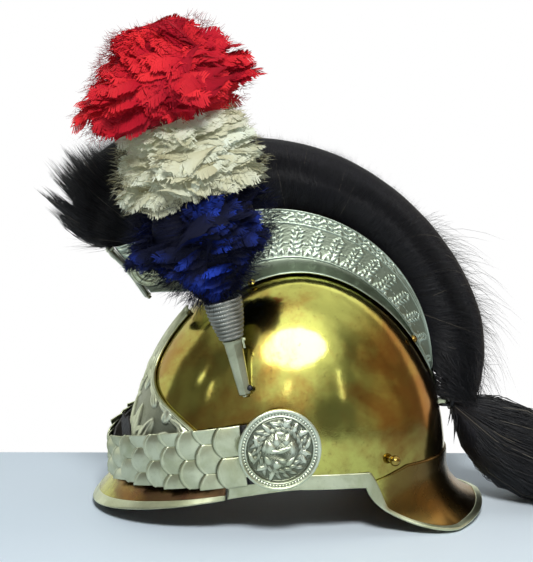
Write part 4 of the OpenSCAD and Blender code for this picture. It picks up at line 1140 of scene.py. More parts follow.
def brushRear():  # loose wisps that stand out over the back
    rng = np.random.RandomState(33)
    count = hair["wisps"]
    a = rng.uniform(3, 50, count)
    x = rng.uniform(-1, 1, count)
    far = rng.uniform(1.02, 1.3, count) + 0.35 * (rng.rand(count) < 0.12)
    tip = brushTip(a - rng.uniform(2, 12, count) - 8 * (far > 1.3), x, far) + rng.normal(0, 4, (count, 3))
    middle = brushTip(a - 1, x, 0.45 + 0.45 * far) + rng.normal(0, 3, (count, 3))
    paths = bent(brushTip(a, x, 0.4), middle, tip, 6)
    # the wisps are paler: painted glints
    strands("brush_rear_wisps", paths, hair["wispThick"], clamp(rng.beta(2, 3, count) + 0.3))


fall = dict(half=12.0, rear=137.0, back=20.0, high=55.0, down=9.0)  # where the hair of the low end hangs to


def brushEnd():
    rng = np.random.RandomState(35)
    count = hair["endHair"]
    x = rng.uniform(-1, 1, count)
    root = brushTip(rng.uniform(1.5, 15, count), x * 0.9, rng.uniform(0.1, 0.92, count))
    low = rng.uniform(0, 1, count)
    endX = x * fall["half"] + rng.normal(0, 2, count)
    endY = fall["rear"] + fall["back"] * low + rng.normal(0, 2, count)
    tip = vec(endX, endY, fall["high"] - fall["down"] * low + rng.normal(0, 3, count))
    middle = (root + tip) / 2 + vec(x * 4, 3 + 4 * low, 0 * x) + rng.normal(0, 1.2, (count, 3))
    strands("brush_end_hair", bent(root, middle, tip, 5), hair["endThick"], clamp(rng.beta(2, 3, count)))


cordEnds = dict(count=16, thick=1.1, rear=136.0, up=47.0, low=(8, 30))  # loose ends round the mane's root


def maneCordEnds():
    rng = np.random.RandomState(37)
    count = cordEnds["count"]
    x = rng.uniform(-1, 1, count)
    root = vec(x * 5, cordEnds["rear"] + rng.uniform(-1, 3, count), cordEnds["up"])
    tip = vec(x * 13, cordEnds["rear"] + 2 + rng.uniform(0, 8, count), rng.uniform(*cordEnds["low"], count))
    middle = (root + tip) / 2 + vec(x * 3, 4.0, 3.0)
    strands("mane_cord_ends", bent(root, middle, tip, 6), cordEnds["thick"], 0 * x + 0.5)


savePiece("brush_core", shell(120, 24, brushCore), packedHair, "helmet", ["brush"])
for part in range(hair["rows"]):
    brushHair(part)
brushFront()
brushRear()
brushEnd()
maneCordEnds()
print("brush made")

# mane: sections along its length, as its place, drop, half height and half width
maneShape = np.array([[0, -4, 0.2, 0.22], [0.02, -14, 0.42, 0.4], [0.045, -23, 0.66, 0.6],
                      [0.1, -29, 0.86, 0.8], [0.17, -37, 1.06, 0.95], [0.26, -46, 1.1, 1.02],
                      [0.36, -56, 1, 1.06], [0.5, -64, 0.66, 1.05], [0.64, -72, 0.46, 1],
                      [0.8, -79, 0.28, 0.85], [0.92, -83.5, 0.15, 0.6], [1, -86, 0.06, 0.3]])
mane = dict(start=139.1, length=262.0, radius=34.0, tie=48.0, floor=-39.6, locks=90)


def manePoint(along, turn, share):
    drop, tall, wide = (np.interp(along, maneShape[:, 0], maneShape[:, i]) for i in (1, 2, 3))
    flute = 1 + 0.05 * cosD(4 * turn + 300 * along)
    z = mane["tie"] + drop + mane["radius"] * tall * flute * sinD(turn) * share
    x = mane["radius"] * wide * flute * cosD(turn) * share
    return vec(x, mane["start"] + mane["length"] * along, np.maximum(z, mane["floor"]))


def maneCore(u, v):
    close = clamp(np.minimum(u, 1 - u) / 0.03)
    return manePoint(mix(0.004, 0.95, clamp((u - 0.03) / 0.94)), 360 * v, 0.9 * close)


def maneHair():
    rng = np.random.RandomState(8)
    count, locks = hair["maneStrands"], mane["locks"]
    lock = rng.randint(0, locks, count)
    lockTurn = np.sort(rng.uniform(0, 360, locks))[lock]
    lockEnd = rng.uniform(0.55, 1.0, locks)[lock]
    lockWave = rng.uniform(0, 360, locks)[lock]
    turn = lockTurn + rng.normal(0, 7, count)
    stray = rng.rand(count) < 0.06
    end = clamp(lockEnd + rng.normal(0, 0.06, count) + stray * 0.05, 0.3, 1.0)
    along = np.linspace(0, 1, 7)[None, :] * end[:, None]
    share = (rng.uniform(0.86, 1.03, count) + stray * rng.uniform(0, 0.12, count))[:, None]
    swing = 4.5 * np.sin(np.radians(lockWave[:, None] + along * 700)) * along * 2
    share = share * (1 + 0.05 * np.sin(along * 21 + lockWave[:, None]))
    paths = manePoint(along, turn[:, None] + swing * 1.6, share)
    paths[..., 2] = np.maximum(paths[..., 2], mane["floor"] + 0.4)
    # stray strands are paler: painted glints
    strands("mane_hair", paths, hair["maneThick"], clamp(rng.beta(2, 3, count) + stray * 0.35), "mane_tail")


savePiece("mane_core", shell(60, 40, maneCore), packedHair, "mane_tail", ["mane"])
maneHair()
print("mane made")

# plume: drawn along its stem, which leans forward
plume = dict(mouth=(87.0, -59.5, 115.0), lean=15.0, flat=0.74)


def onStem(p):
    c, s = float(cosD(plume["lean"])), float(sinD(plume["lean"]))
    x, y, z = p[..., 0], p[..., 1], p[..., 2]
    m = plume["mouth"]
    return vec(m[0] + x, m[1] + y * c - z * s, m[2] + y * s + z * c)


# the socket's outline at its mouth, a wedge towards the bowl; it tapers downwards
socket = dict(depth=46.0, bore=2.3, taper=0.64, wedgeTaper=0.86, lip=0.7, lipAt=1.2, screw=(2.6, 4.6, -40.0))
socketRing = np.array([[5.4, 0], [5.2, 0.7], [3.35, 5.6], [2.7, 6.6], [1.6, 7.0], [0, 7.0], [-1.6, 6.6],
                       [-4.0, 4.6], [-4.4, 3.6], [-4.4, -3.6], [-4.0, -4.6], [-1.6, -6.6], [0, -7.0],
                       [1.6, -7.0], [2.7, -6.6], [3.35, -5.6], [5.2, -0.7], [5.4, 0]], float)
screwProfile = [(0, 0), (2.3, 0), (2.4, 0.4), (2.1, 1.2), (1.2, 1.7), (0, 1.9)]


def socketWhere(u, v):  # up the outside to v = 0.5, then over the mouth and down the bore
    up = np.where(v < 0.5, v / 0.5, 1 - (v - 0.5) / 0.5)
    z = -socket["depth"] * (1 - up)
    i = u * (len(socketRing) - 1)
    x, y = (np.interp(i, range(len(socketRing)), socketRing[:, k]) for k in (0, 1))
    low = -z / socket["depth"]
    share = mix(1, socket["taper"], low)
    x = x * np.where(x > 0, mix(1, socket["wedgeTaper"], low), share)
    turn = np.arctan2(y, x)
    bored = clamp((v - 0.5) / 0.06)
    boreX, boreY = socket["bore"] * np.cos(turn), socket["bore"] * np.sin(turn)
    p = vec(mix(x, boreX, bored), mix(y * share, boreY, bored), z)
    lip = socket["lip"] * np.exp(-((z + socket["lipAt"]) / 1.1) ** 2) * (v < 0.5)
    foot = clamp(1 - v / 0.02) * (v < 0.02)
    p[..., :2] = (p[..., :2] + unit(p[..., :2]) * col(lip)) * col(1 - foot)
    return onStem(p)


savePiece("plume_socket_body", shell(68, 90, socketWhere), socketMetal, "helmet", ["plume_socket"])
screw = carry(lathe(screwProfile, 24), Matrix.Rotation(math.radians(90), 4, "Y"))
moveVerts(screw, onStem(spotsOf(screw) + np.array(socket["screw"])))
savePiece("socket_screw", screw, ironBlack, "helmet")

tulip = dict(low=8.7, high=14.5, tall=32.0, rings=10, wire=1.5, swell=1.75, winds=46)


def tulipRadius(z):
    return mix(tulip["low"], tulip["high"], sinD(90 * clamp(z / tulip["tall"])))


def tulipWhere(u, v):  # rings of wound wire on a stalk, closed below and above
    share = clamp((v - 0.04) / 0.9)
    z = 0.3 + tulip["tall"] * share
    ring = share * tulip["rings"]
    across = (ring % 1) * 2 - 1
    swell = np.sqrt(clamp(1 - across ** 2))
    wound = 0.22 * np.sin(np.radians(360 * u * tulip["winds"] + across * 110 + np.floor(ring) * 77))
    r = tulipRadius(z) - tulip["wire"] + swell * (tulip["swell"] + wound)
    r = np.where(v < 0.04, (tulipRadius(0.3) - tulip["wire"]) * v / 0.04, r)
    r = np.where(v > 0.94, (tulipRadius(tulip["tall"] + 0.3) - tulip["wire"]) * (1 - v) / 0.06, r)
    z = np.where((v < 0.04) | (v > 0.94), np.where(v < 0.5, 0.35, tulip["tall"] + 0.2), z)
    return onStem(vec(r * cosD(360 * u), r * sinD(360 * u), z))


savePiece("tulip_wound_wire", shell(276, 100, tulipWhere), darkMetal, "plume", ["plume_tulip"])

# feathers: each mass is a core, blades that lie in locks and tiers, and fluff; shape is (height, width)
feather = dict(barbs=22, lean=0.26, each=11, fluffThick=0.17)
feathers = {
    "blue": dict(low=32.4, tall=84.0, wide=61.0, seed=1, forward=4.0, finish=blueFeather, locks=92, long=34,
                 half=5.8, lift=(-0.8, 0.45), part=0.0, tiers=7, comb=0.8, fluff=3400, wisp=17, crown=0,
                 lit=(-4.0, 72.0, 18.0),
                 shape=[[0, 0.2], [0.12, 0.4], [0.3, 0.7], [0.52, 0.96], [0.75, 0.96], [1, 0.74]]),
    "cream": dict(low=112.0, tall=60.0, wide=55.0, seed=2, forward=3.0, finish=creamFeather, locks=74,
                  long=38, half=7.0, lift=(-0.5, 0.2), part=-8.0, tiers=4, comb=0.9, fluff=2200, wisp=10,
                  crown=0,
                  shape=[[0, 0.9], [0.2, 1.02], [0.5, 1], [0.8, 0.94], [1, 0.78]]),
    "red": dict(low=169.0, tall=73.0, wide=66.0, seed=3, forward=15.0, finish=redFeather, locks=84, long=42,
                half=8.4, lift=(-0.2, 0.5), part=14.0, tiers=5, comb=0.9, fluff=2200, wisp=10, crown=16,
                shape=[[0, 0.84], [0.1, 0.94], [0.3, 1.04], [0.52, 0.92], [0.8, 0.7], [1, 0.5]])}


def massPoint(kind, f, turn, share=1.0):  # f from a mass's foot to its top
    shape = np.array(kind["shape"], float)
    z = kind["low"] + kind["tall"] * clamp(f)
    r = kind["wide"] * np.interp(f, shape[:, 0], shape[:, 1]) * share
    k = kind["seed"]
    r = r * (1 + 0.09 * cosD(5 * turn + k * 70 + z * 2) + 0.07 * cosD(3 * turn - k * 40 - z))
    return vec(plume["flat"] * r * cosD(turn), r * sinD(turn) - kind["forward"] * (1 - 0.9 * clamp(f)), z)


def massCore(kind):
    def where(u, v):
        f = np.interp(v, [0, 0.08, 0.9, 1], [0, 0, 1, 1])
        share = 0.66 * np.interp(v, [0, 0.08, 0.92, 1], [0, 1, 1, 0])
        return onStem(massPoint(kind, f, 360 * u, np.maximum(share, 0.0)))
    return shell(48, 24, where)


def featherTemplate():  # loose barbs on both sides of a quill; z tells a barb's lower edge from its upper one
    bm = newGrid(2, feather["barbs"])
    bmesh.ops.split_edges(bm, edges=[e for e in bm.edges if e.calc_length() > 0.4 and not e.is_boundary])
    for vertex in bm.verts:
        middle = sum(face.calc_center_median().y for face in vertex.link_faces) / len(vertex.link_faces)
        vertex.co.z = 1 if vertex.co.y > middle else -1
    return bm


def paintedLightPatchesOf(kind, f, turn):  # painted light and shade: soft lighter and darker places over a mass
    k = kind["seed"] * 50
    patches = 0.28 * np.sin(np.radians(2 * turn + k) + 7 * f)
    return 0.5 + patches + 0.22 * np.sin(np.radians(5 * turn - k) - 12 * f + k)


def heartOf(kind, spot, share, forward=0.0):  # the place inside a mass that a feather points away from
    z = mix(kind["low"] + kind["tall"] * 0.45, spot[:, 2], share)
    return vec(0 * z, -kind["forward"] * forward, z)


def featherVanes(count, long, half, rng):  # each barb point's place along the quill, across it and above it
    barbs = feather["barbs"]
    template = featherTemplate()
    local = spotsOf(template)
    edge, wing = local[:, 2], local[:, 0] * 2
    step = 0.5 / barbs
    quill = local[:, 1] + 0.5 - edge * step
    row = np.clip((quill * barbs).astype(int), 0, barbs - 1)
    outer = np.abs(wing) > 0.5
    leaning = quill + feather["lean"] * (1 - 0.7 * quill) + edge * step * 0.9
    ahead = np.where(outer, leaning, quill + edge * step * 1.05)
    vane = (0.25 + 0.75 * smooth(quill, 0.0, 0.45)) * np.sqrt(clamp(1 - quill ** 5)) + 0.05
    tufts = rng.uniform(-0.08, 0.05, (count, 2 * barbs)) - 0.28 * (rng.rand(count, 2 * barbs) < 0.06)
    tufts = tufts[:, row + barbs * (wing > 0)]
    curl = col(rng.uniform(0.1, 0.5, count))
    length = ahead[None] * (1 + 0.3 * tufts * outer) / 1.08
    across = wing * vane * (1 + tufts) * col(half)
    bow = col(rng.normal(0, 0.1, count))  # a feather also bends to one side
    rise = col(long) * curl * (0.75 * length - 0.85 * length ** 2) - 0.3 * np.abs(across) * (1 + 2 * tufts)
    return template, length * col(long), across + bow * col(long) * length ** 2, rise


def massBlades(name, kind, rng):  # feathers lie in locks that stand out by tiers
    locks, tiers = kind["locks"], kind["tiers"]
    lockF = clamp((np.arange(locks) % tiers + 0.5 + rng.normal(0, 0.16, locks)) / tiers)
    lockTurn = 360 * (np.arange(locks) * 0.618 % 1) + rng.normal(0, 6, locks)
    lockOut = rng.uniform(0.8, 1.13, locks)
    lockTilt = rng.normal(0, 0.24, (locks, 3))
    crown = np.arange(locks) < kind["crown"]  # the locks that close the top
    lockF = np.where(crown, 1.0, lockF)
    lockOut = np.where(crown, lockOut * np.sqrt(rng.rand(locks)), lockOut)
    lockTilt[:, 2] += crown * 0.8
    lock = np.repeat(np.arange(locks), feather["each"])
    count = len(lock)
    inner = rng.rand(count)
    f = clamp(lockF[lock] + rng.normal(0, 0.035, count))
    turn = lockTurn[lock] + rng.normal(0, 9, count)
    depth = lockOut[lock] - 0.2 * inner ** 1.5
    spot = massPoint(kind, f, turn, depth)
    slope = massPoint(kind, f + 0.01, turn, depth) - massPoint(kind, f - 0.01, turn, depth)
    around = massPoint(kind, f, turn + 1, depth) - massPoint(kind, f, turn - 1, depth)
    normal = unit(np.cross(around, slope))
    outward = unit(spot - heartOf(kind, spot, 0.6, 0.6))
    normal = unit(np.where(col((normal * outward).sum(-1) < 0), -normal, normal) + outward * 0.4)
    comb = clamp((spot[:, 1] - kind["part"]) / 9, -1, 1) * kind["comb"]
    lift = mix(*kind["lift"], f)
    way = unit(outward * 0.5 + vec(0.0, comb, lift) + lockTilt[lock] + rng.normal(0, 0.1, (count, 3)))
    face = normal + vec(0.0, 0.0, 0.6) + lockTilt[lock] + rng.normal(0, 0.17, (count, 3))
    face = unit(face - way * col((face * way).sum(-1)))
    side = np.cross(way, face)
    long = kind["long"] * rng.uniform(0.75, 1.15, count)
    half = kind["half"] * rng.uniform(0.75, 1.2, count)
    template, along, across, rise = featherVanes(count, long, half, rng)
    points = (spot - way * col(long))[:, None] + way[:, None] * along[..., None]
    points = points + side[:, None] * across[..., None] + face[:, None] * rise[..., None]
    tone = 0.62 * rng.beta(3, 3, locks)[lock] + rng.normal(0, 0.07, count) + paintedLightPatchesOf(kind, f, turn) * 0.35
    # inner feathers are darker: painted shade inside the mass
    tone = tone - inner * 0.2 + 0.1
    if "lit" in kind:  # dark feathers with one painted highlight
        atY, atZ, size = kind["lit"]
        near = np.exp(-((spot[:, 1] - atY) ** 2 + (spot[:, 2] - atZ) ** 2) / size ** 2) * (spot[:, 0] > 0)
        tone = tone * 0.6 + near * 1.25
    shades = np.repeat(clamp(tone), len(template.verts))
    savePiece(f"{name}_feather_blades", repeat(template, count), kind["finish"], "plume",
              [f"feathers_{name}"], points=onStem(points), shades=shades)


def massFluff(name, kind, rng):
    count = kind["fluff"]
    f, turn = rng.uniform(0, 1, count), rng.uniform(0, 360, count)
    start = massPoint(kind, f, turn, rng.uniform(0.8, 0.95, count))
    go = unit(start - heartOf(kind, start, 0.5)) + rng.normal(0, 0.45, (count, 3))
    tip = start + unit(go) * col(rng.uniform(0.4, 1, count) * kind["wisp"])
    middle = (start + tip) / 2 + rng.normal(0, 1.4, (count, 3))
    strands(f"{name}_feather_fluff", onStem(bent(start, middle, tip, 4)), feather["fluffThick"],
            clamp(rng.beta(2, 2, count)), "plume", kind["finish"])


for name, kind in feathers.items():
    rng = np.random.RandomState(60 + kind["seed"])
    # the cores carry no shade attribute and so take dark tones: painted shade inside each mass
    savePiece(f"{name}_feather_core", massCore(kind), kind["finish"], "plume")
    massBlades(name, kind, rng)
    massFluff(name, kind, rng)
print("plume made")

# rosettes: a chased head in a wreath; places are shares of the radius, x to the rear and y up
rosette = dict(radius=32.0, out=103.6, y=-22.0, z=33.0, wreath=22, domeAt=[0, 0.3, 0.42, 0.62, 0.8, 0.9, 1],
               domeHigh=[5.2, 4.4, 3.0, 2.1, 1.6, 2.2, 2.2], beadAt=0.875, bead=0.034)
# the wreath's marked leaves, as x, y and turn
wreathLeaves = [(-0.15, 0.65, 170), (0.1, 0.68, 100), (0.17, 0.68, 30), (0.35, 0.56, 60), (0.56, 0.43, 20),
                (0.68, 0.18, 70), (0.64, -0.06, -20), (0.58, -0.22, -60), (-0.68, -0.18, 120),
                (-0.44, -0.45, 200), (-0.18, -0.64, 250), (-0.35, 0.54, 140), (-0.58, 0.22, 110)]
# the head's raised parts, as x, y, length, width, turn and height
faceParts = [(-0.25, 0.08, 0.13, 0.13, 0, 1.5), (-0.13, -0.01, 0.16, 0.05, 5, 1.5),
             (0.1, 0.03, 0.2, 0.06, 20, 1.1), (-0.05, -0.37, 0.1, 0.1, 0, 1.5),
             (0.27, -0.26, 0.16, 0.06, 50, 1.2),
             (-0.3, -0.25, 0.13, 0.07, 120, 1.1), (-0.1, 0.27, 0.16, 0.07, 100, 1.1),
             (0.17, 0.3, 0.17, 0.06, 70, 1.1), (0.3, 0.08, 0.17, 0.06, 95, 0.9),
             (-0.38, 0.1, 0.15, 0.05, 80, 0.9), (0.05, -0.24, 0.12, 0.05, 160, 0.8),
             (0.0, 0.42, 0.13, 0.05, 0, 0.9)]


def rosetteLift(r, turn):
    q = r / rosette["radius"]
    x, y = q * cosD(turn), q * sinD(turn)
    parts = [ridge(q - 0.955, 0.05, 1.5), ridge(q - 0.82, 0.025, 1.1), ridge(q - 0.76, 0.012, 0.6)]
    beads = (turn % 5 - 2.5) * 0.0157  # seventy-two beads on a ring
    across = (q - rosette["beadAt"]) / rosette["bead"]
    parts.append(1.15 * np.sqrt(clamp(1 - (beads / rosette["bead"]) ** 2 - across ** 2)))
    for i in range(rosette["wreath"]):  # the wreath behind the marked leaves
        for ring, ahead, lean in ((0.52, 0, 62), (0.65, 8, 42)):
            at = i * 360 / rosette["wreath"] + ahead
            leafX, leafY = ring * float(cosD(at)), ring * float(sinD(at))
            parts.append(leaf(x, y, leafX, leafY, 0.125, 0.045, at + lean, 1.05))
    for leafX, leafY, lean in wreathLeaves:
        parts.append(leaf(x, y, leafX, leafY, 0.15, 0.055, lean, 1.7))
    for partX, partY, long, wide, lean, high in faceParts:
        parts.append(leaf(x, y, partX, partY, long, wide, lean, high, vein=0.0))
    parts.append(0.45 * np.abs(np.sin(x * 46 + 5 * np.sin(y * 21))) * smooth(q, 0.46, 0.38))  # curls of hair
    hollow = 1.1 * np.exp(-((x / 0.1) ** 2 + ((y + 0.15) / 0.07) ** 2))
    return strongest(parts) - hollow - 0.35 * smooth(q, 0.42, 0.46) * (q < 0.8)


def rosetteFace(r, turn):
    return np.interp(r / rosette["radius"], rosette["domeAt"], rosette["domeHigh"]) + rosetteLift(r, turn)


for name, side in sides:
    bm = disc(rosette["radius"], 0.0, rosetteFace, (216, 110))
    spots = spotsOf(bm)
    r = np.hypot(spots[:, 0], spots[:, 1])
    lift = rosetteLift(r, np.degrees(np.arctan2(spots[:, 1], spots[:, 0])) % 360) * 0.6
    sideways(bm, side, rosette["out"], rosette["y"], rosette["z"])
    savePiece(f"{name}_rosette_relief", bm, chased, f"{name}_strap", [f"{name}_rosette"], relief=lift)
print("rosettes made")

# chin straps: rows of lapped scales, each on its own body, along an arc round the bowl's front
strap = dict(across=99.25, ahead=124.75, back=-22.0, start=31.0, fall=29.5, wide=49.0, narrow=26.0, root=12.0,
             first=26.0, gap=3.0, rows=10)
scale = dict(lobe=6.0, lap=1.6, root=0.8, thick=0.9, off=0.85, swell=1.5, lip=0.5, sheet=0.7, play=0.3)
leather = dict(thick=1.5, inset=0.6, over=0.3, round=0.015)
arcTurns = np.linspace(0, 90, 61)
arcX, arcY = strap["across"] * cosD(arcTurns), strap["back"] - strap["ahead"] * sinD(arcTurns)
arcLengths = np.concatenate([[0], np.cumsum(np.hypot(np.diff(arcX), np.diff(arcY)))])
strapLength = arcLengths[-1]
pitch = (strapLength - strap["gap"] - strap["first"]) / strap["rows"]
strapSlope = math.atan(strap["fall"] / strapLength)
scaleTilt = math.atan((scale["thick"] + scale["play"]) / pitch)
lapped = scale["lobe"] + scale["lap"]  # how far a row runs over the next one


def rowStart(k):
    return strap["first"] + pitch * k


def strapSpot(s):
    t = math.radians(float(np.interp(s, arcLengths, arcTurns)))
    x, y = strap["across"] * math.cos(t), strap["back"] - strap["ahead"] * math.sin(t)
    return Vector((x, y, strap["start"] - strap["fall"] * s / strapLength))


def strapHalf(s):
    return mix(strap["wide"], strap["narrow"], (s / strapLength) ** 1.6) / 2


def strapFrame(start, stop, tilt=0.0):  # x along the strap, y outwards and z up from a place on it
    here, there = strapSpot(start), strapSpot(stop)
    turn = math.atan2(there.y - here.y, there.x - here.x)
    turns = Matrix.Rotation(turn, 4, "Z") @ Matrix.Rotation(strapSlope, 4, "Y")
    turns = turns @ Matrix.Rotation(tilt, 4, "Z")
    return Matrix.Translation(here) @ turns


def lobeEnd(reach, half, s):  # how far a lobe of this width runs at a height s from its middle
    radius = (half ** 2 + scale["lobe"] ** 2) / (2 * scale["lobe"])
    return reach - radius + np.sqrt(clamp(radius ** 2 - s ** 2, 0, 1e9))


def scaleLobe(reach, half, low, high, middle, coveredBy):
    # one rounded scale between two heights, and how clear of the row before each of its points lies
    def where(u, v):
        z = mix(low, high, v)
        s = z - middle
        end = lobeEnd(reach, half, s) if reach > pitch else reach + 0 * s
        x = mix(scale["root"], end, u)
        lipIn = end - x
        across = clamp(1 - (s / half) ** 2)
        rise = smooth(u * reach / (pitch + lapped), 0.0, 0.5)
        y = scale["off"] + scale["thick"] * 0.55 + scale["swell"] * across * rise
        lip = np.exp(-((lipIn - 1.1) / 0.7) ** 2) * smooth(u, 0.2, 0.4) - smooth(0.7 - lipIn, 0, 0.7)
        return vec(x, y + scale["lip"] * lip, z)
    bm = skin(34, 18, where)
    spots = spotsOf(bm)
    covers = []
    for m, h in coveredBy:  # painted shadow under the edge of the row before
        s = spots[:, 2] - m
        covers.append(np.where(np.abs(s) <= h + 0.01, lobeEnd(lapped, h, s), -9.0))
    return bm, smooth(spots[:, 0] - np.max(covers, axis=0), 0.0, 2.6)


def rowSpans(k):  # low, high and middle of each scale in a row: two and then one between two halves
    half = strapHalf(rowStart(k))
    w = half / 2
    if k % 2 == 0:
        return [(-half, 0, -w), (0, half, w)], w
    return [(-w, w, 0), (w, half, half), (-half, -w, -half)], w


def rowScales(k):
    spans, w = rowSpans(k)
    before, beforeW = rowSpans(k - 1) if k else ([], w)
    reach = pitch + (lapped if k < strap["rows"] - 1 else 0)
    covers = [(middle, beforeW) for low, high, middle in before] or [(0, 0)]
    made = [scaleLobe(reach, w, low, high, middle, covers) for low, high, middle in spans]
    return together([bm for bm, lift in made]), np.concatenate([lift for bm, lift in made])


def strapBand(start, stop):  # a piece of the strap's leather in its row's frame
    half, far = strapHalf(start) - leather["inset"], strapHalf(stop) - leather["inset"]
    edge = np.array([[0, -1], [0.06, -1], [0.94, -1], [1, -1], [1, 1], [0.94, 1], [0.06, 1], [0, 1], [0, -1]])

    def where(u, v):
        a, b = (np.interp(v * 8, range(9), edge[:, i]) for i in (0, 1))
        x = mix(-leather["over"], stop - start + leather["over"], u)
        h = mix(half, far, u) * (1 - leather["round"] * (np.abs(a - 0.5) >= 0.45))
        return vec(x, (a - 0.5) * leather["thick"], b * h)
    bm = weld(skin(6, 8, where), closed=False)
    bmesh.ops.holes_fill(bm, edges=[e for e in bm.edges if len(e.link_faces) == 1])
    bmesh.ops.recalc_face_normals(bm, faces=bm.faces)
    return carry(bm, strapFrame(start, stop))


for name, side in sides:
    for k in range(strap["rows"]):
        row = f"{k + 1:02d}"
        body = f"{name}_row_{row}"
        start, stop = rowStart(k), rowStart(k + 1)
        bm, lift = rowScales(k)
        carry(bm, strapFrame(start, stop, scaleTilt))
        savePiece(f"{name}_scales_{row}", toSide(bm, side), scaled, body, [f"{name}_scale_{row}"],
                  sheet=scale["sheet"], relief=lift)
        band = toSide(strapBand(start, stop), side)
        savePiece(f"{name}_leather_{row}", band, blackLeather, body, [f"{name}_strap_leather"])
    root = toSide(strapBand(strap["root"], rowStart(0)), side)
    savePiece(f"{name}_leather_root", root, blackLeather, f"{name}_strap")
print("straps made")

# liner: band, tongues and the lace that gathers them
liner = dict(low=4.5, tall=36.0, out=-2.2, thick=1.6, tongues=8, tongueFrom=-6.0, tongueIn=0.85, gather=5.0,
             end=27.0, top=112.0, sheet=1.6)
lace = dict(radius=28.4, half=1.1, under=3.0, winds=60)


def linerBand(u, v):
    inward = np.interp(v * 4, [0, 1, 2, 3, 4], [0, 0, -1, -1, 0])
    up = np.interp(v * 4, [0, 1, 2, 3, 4], [0, 1, 1, 0, 0])
    return bowlPoint(360 * u, liner["low"] + liner["tall"] * up, inward * liner["thick"] + liner["out"])


def tonguePoint(turn, f):  # from the band up and in to the lace
    z = liner["low"] + liner["tall"] + liner["tongueFrom"] + 0 * f
    grow = liner["out"] - liner["thick"] - liner["tongueIn"]
    p = mix(bowlPoint(turn, z, grow), bowlPoint(turn, z, grow - liner["gather"]), col(f))
    goal = vec(liner["end"] * sinD(turn), -liner["end"] * cosD(turn), 0 * f)
    out = mix(p, goal, col(f ** 2))
    out[..., 2] = mix(p[..., 2], liner["top"], sinD(90 * f))
    return out


def tongue(k):
    middle, half = 360 * (k + 0.5) / liner["tongues"], 160 / liner["tongues"]
    return skin(12, 20, lambda u, v: tonguePoint(middle + (2 * u - 1) * half * (1 - 0.25 * v * v), v))


def laceWhere(u, v):
    twist = lace["half"] * (0.85 + 0.25 * np.cos(np.radians(360 * v * 2 + 360 * u * lace["winds"])))
    r = lace["radius"] + twist * cosD(360 * v)
    return vec(r * cosD(360 * u), r * sinD(360 * u), liner["top"] - lace["under"] + twist * sinD(360 * v))


savePiece("liner_sweatband", shell(90, 4, linerBand), tanLeather, "helmet", ["liner_band"])
tongues = together([tongue(k) for k in range(liner["tongues"])])
savePiece("liner_leather_tongues", tongues, tanLeather, "helmet", ["liner_tongues"], sheet=liner["sheet"])
savePiece("liner_twisted_lace", shell(240, 10, laceWhere), lacing, "helmet", ["liner_lace"])

# CAD parts that stay as they are; where a width is given, their edges are eased
cadParts = [(silver, ["crest_channel", "crest_prow_floor"], 0.0), (wood, ["brush_backing"], 0.0),
            (silver, ["socket_bracket", "plume_catch", "mane_loop"], 0.25),
            (silver, ["left_strap_root", "right_strap_root"], 0.25),
            (brass, ["crest_nuts", "pivot_posts"], 0.25), (darkMetal, ["plume_stem"], 0.25),
            (ironBlack, ["mane_tie"], 0.25), (blackLeather, ["strap_thong"], 0.25)]
for finish, names, eased in cadParts:
    for name in names:
        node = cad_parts[name]
        node.material_slots[0].material = finish.material
        if eased:
            edge = node.modifiers.new("edge", "BEVEL")
            edge.width = eased * mm
            edge.segments = 2
            edge.limit_method = "ANGLE"
print("liner and CAD finishes made")

# camera: metres and degrees; it looks from the left, a little ahead and above
view = dict(target=(0, -0.02375, 0.14775), elevation=8, ahead=7, roll=2, distance=1.0925, lens=89.29)
scene = bpy.context.scene
scene.view_settings.view_transform = "Standard"
elevation, ahead, roll = (math.radians(view[name]) for name in ("elevation", "ahead", "roll"))
back = Vector((math.cos(ahead), -math.sin(ahead), 0)) * math.cos(elevation)
back.z = math.sin(elevation)
right = (-back).cross(Vector((0, 0, 1))).normalized()
above = right.cross(-back)
rightTurned = right * math.cos(roll) + above * math.sin(roll)
aboveTurned = above * math.cos(roll) - right * math.sin(roll)
lens = bpy.data.cameras.new("camera")
lens.lens = view["lens"]
lens.sensor_width = 36
lens.sensor_fit = "HORIZONTAL"
camera = bpy.data.objects.new("camera", lens)
turned = Matrix((rightTurned, aboveTurned, back)).transposed().to_4x4()
camera.matrix_world = Matrix.Translation(Vector(view["target"]) + back * view["distance"]) @ turned
scene.collection.objects.link(camera)
scene.camera = camera

# world: white to the camera, a room with windows to the metal and an even light to the rest
world = bpy.data.worlds.new("studio")
world.use_nodes = True
world.node_tree.nodes.clear()
scene.world = world
w = Graph(world.node_tree)


def lightPath(name):
    return w.add("ShaderNodeLightPath", output=name)


def background(colour, strength):
    return w.add("ShaderNodeBackground", {}, {"Color": colour, "Strength": strength})


way = w.spot("Generated")
wayX, wayY, wayZ = (w.axis(way, letter) for letter in "XYZ")
ceiling = w.band(wayZ, 0.5, 0.9)
wall = w.band(wayX * -1.0, 0.2, 0.27)
room = w.band(wayX, 0.35, 0.85)
patches = w.band(w.noise(3.2, 4, way, warp=1.0), 0.42, 0.62)
rearEnd = w.band(wayY, 0.5, 0.9)
frontEnd = w.band(wayY * -1.0, 0.5, 0.9)
ends = rearEnd + frontEnd * 0.3 * (1 - wall)
window = w.band(wayX * 0.78 + wayZ * 0.62 + w.noise(5.0, 3, way) * 0.16, 0.86, 1.04)
mottle = patches * 0.2 * (1 - wall) * (1 - frontEnd * 0.7)
glow = ceiling + wall + room * 0.14 + mottle + ends * 0.3 + window * 1.2 + 0.04
roomTint = w.blendColour(ends * (1 - ceiling), (0.96, 1.0, 0.96), (1.0, 0.78, 0.56))
mirrorLight = background(roomTint, glow.sum("MINIMUM", glow, 2.0))
plainLight = background((0.95, 0.98, 1.0), w.band(wayZ, 0.35, 0.7) * 0.22)
whiteBack = background((1.0, 1.0, 1.0), 1.0)
depth = lightPath("Diffuse Depth")
seenInMetal = lightPath("Is Glossy Ray") * (1 - depth.sum("MINIMUM", depth, 1.0))
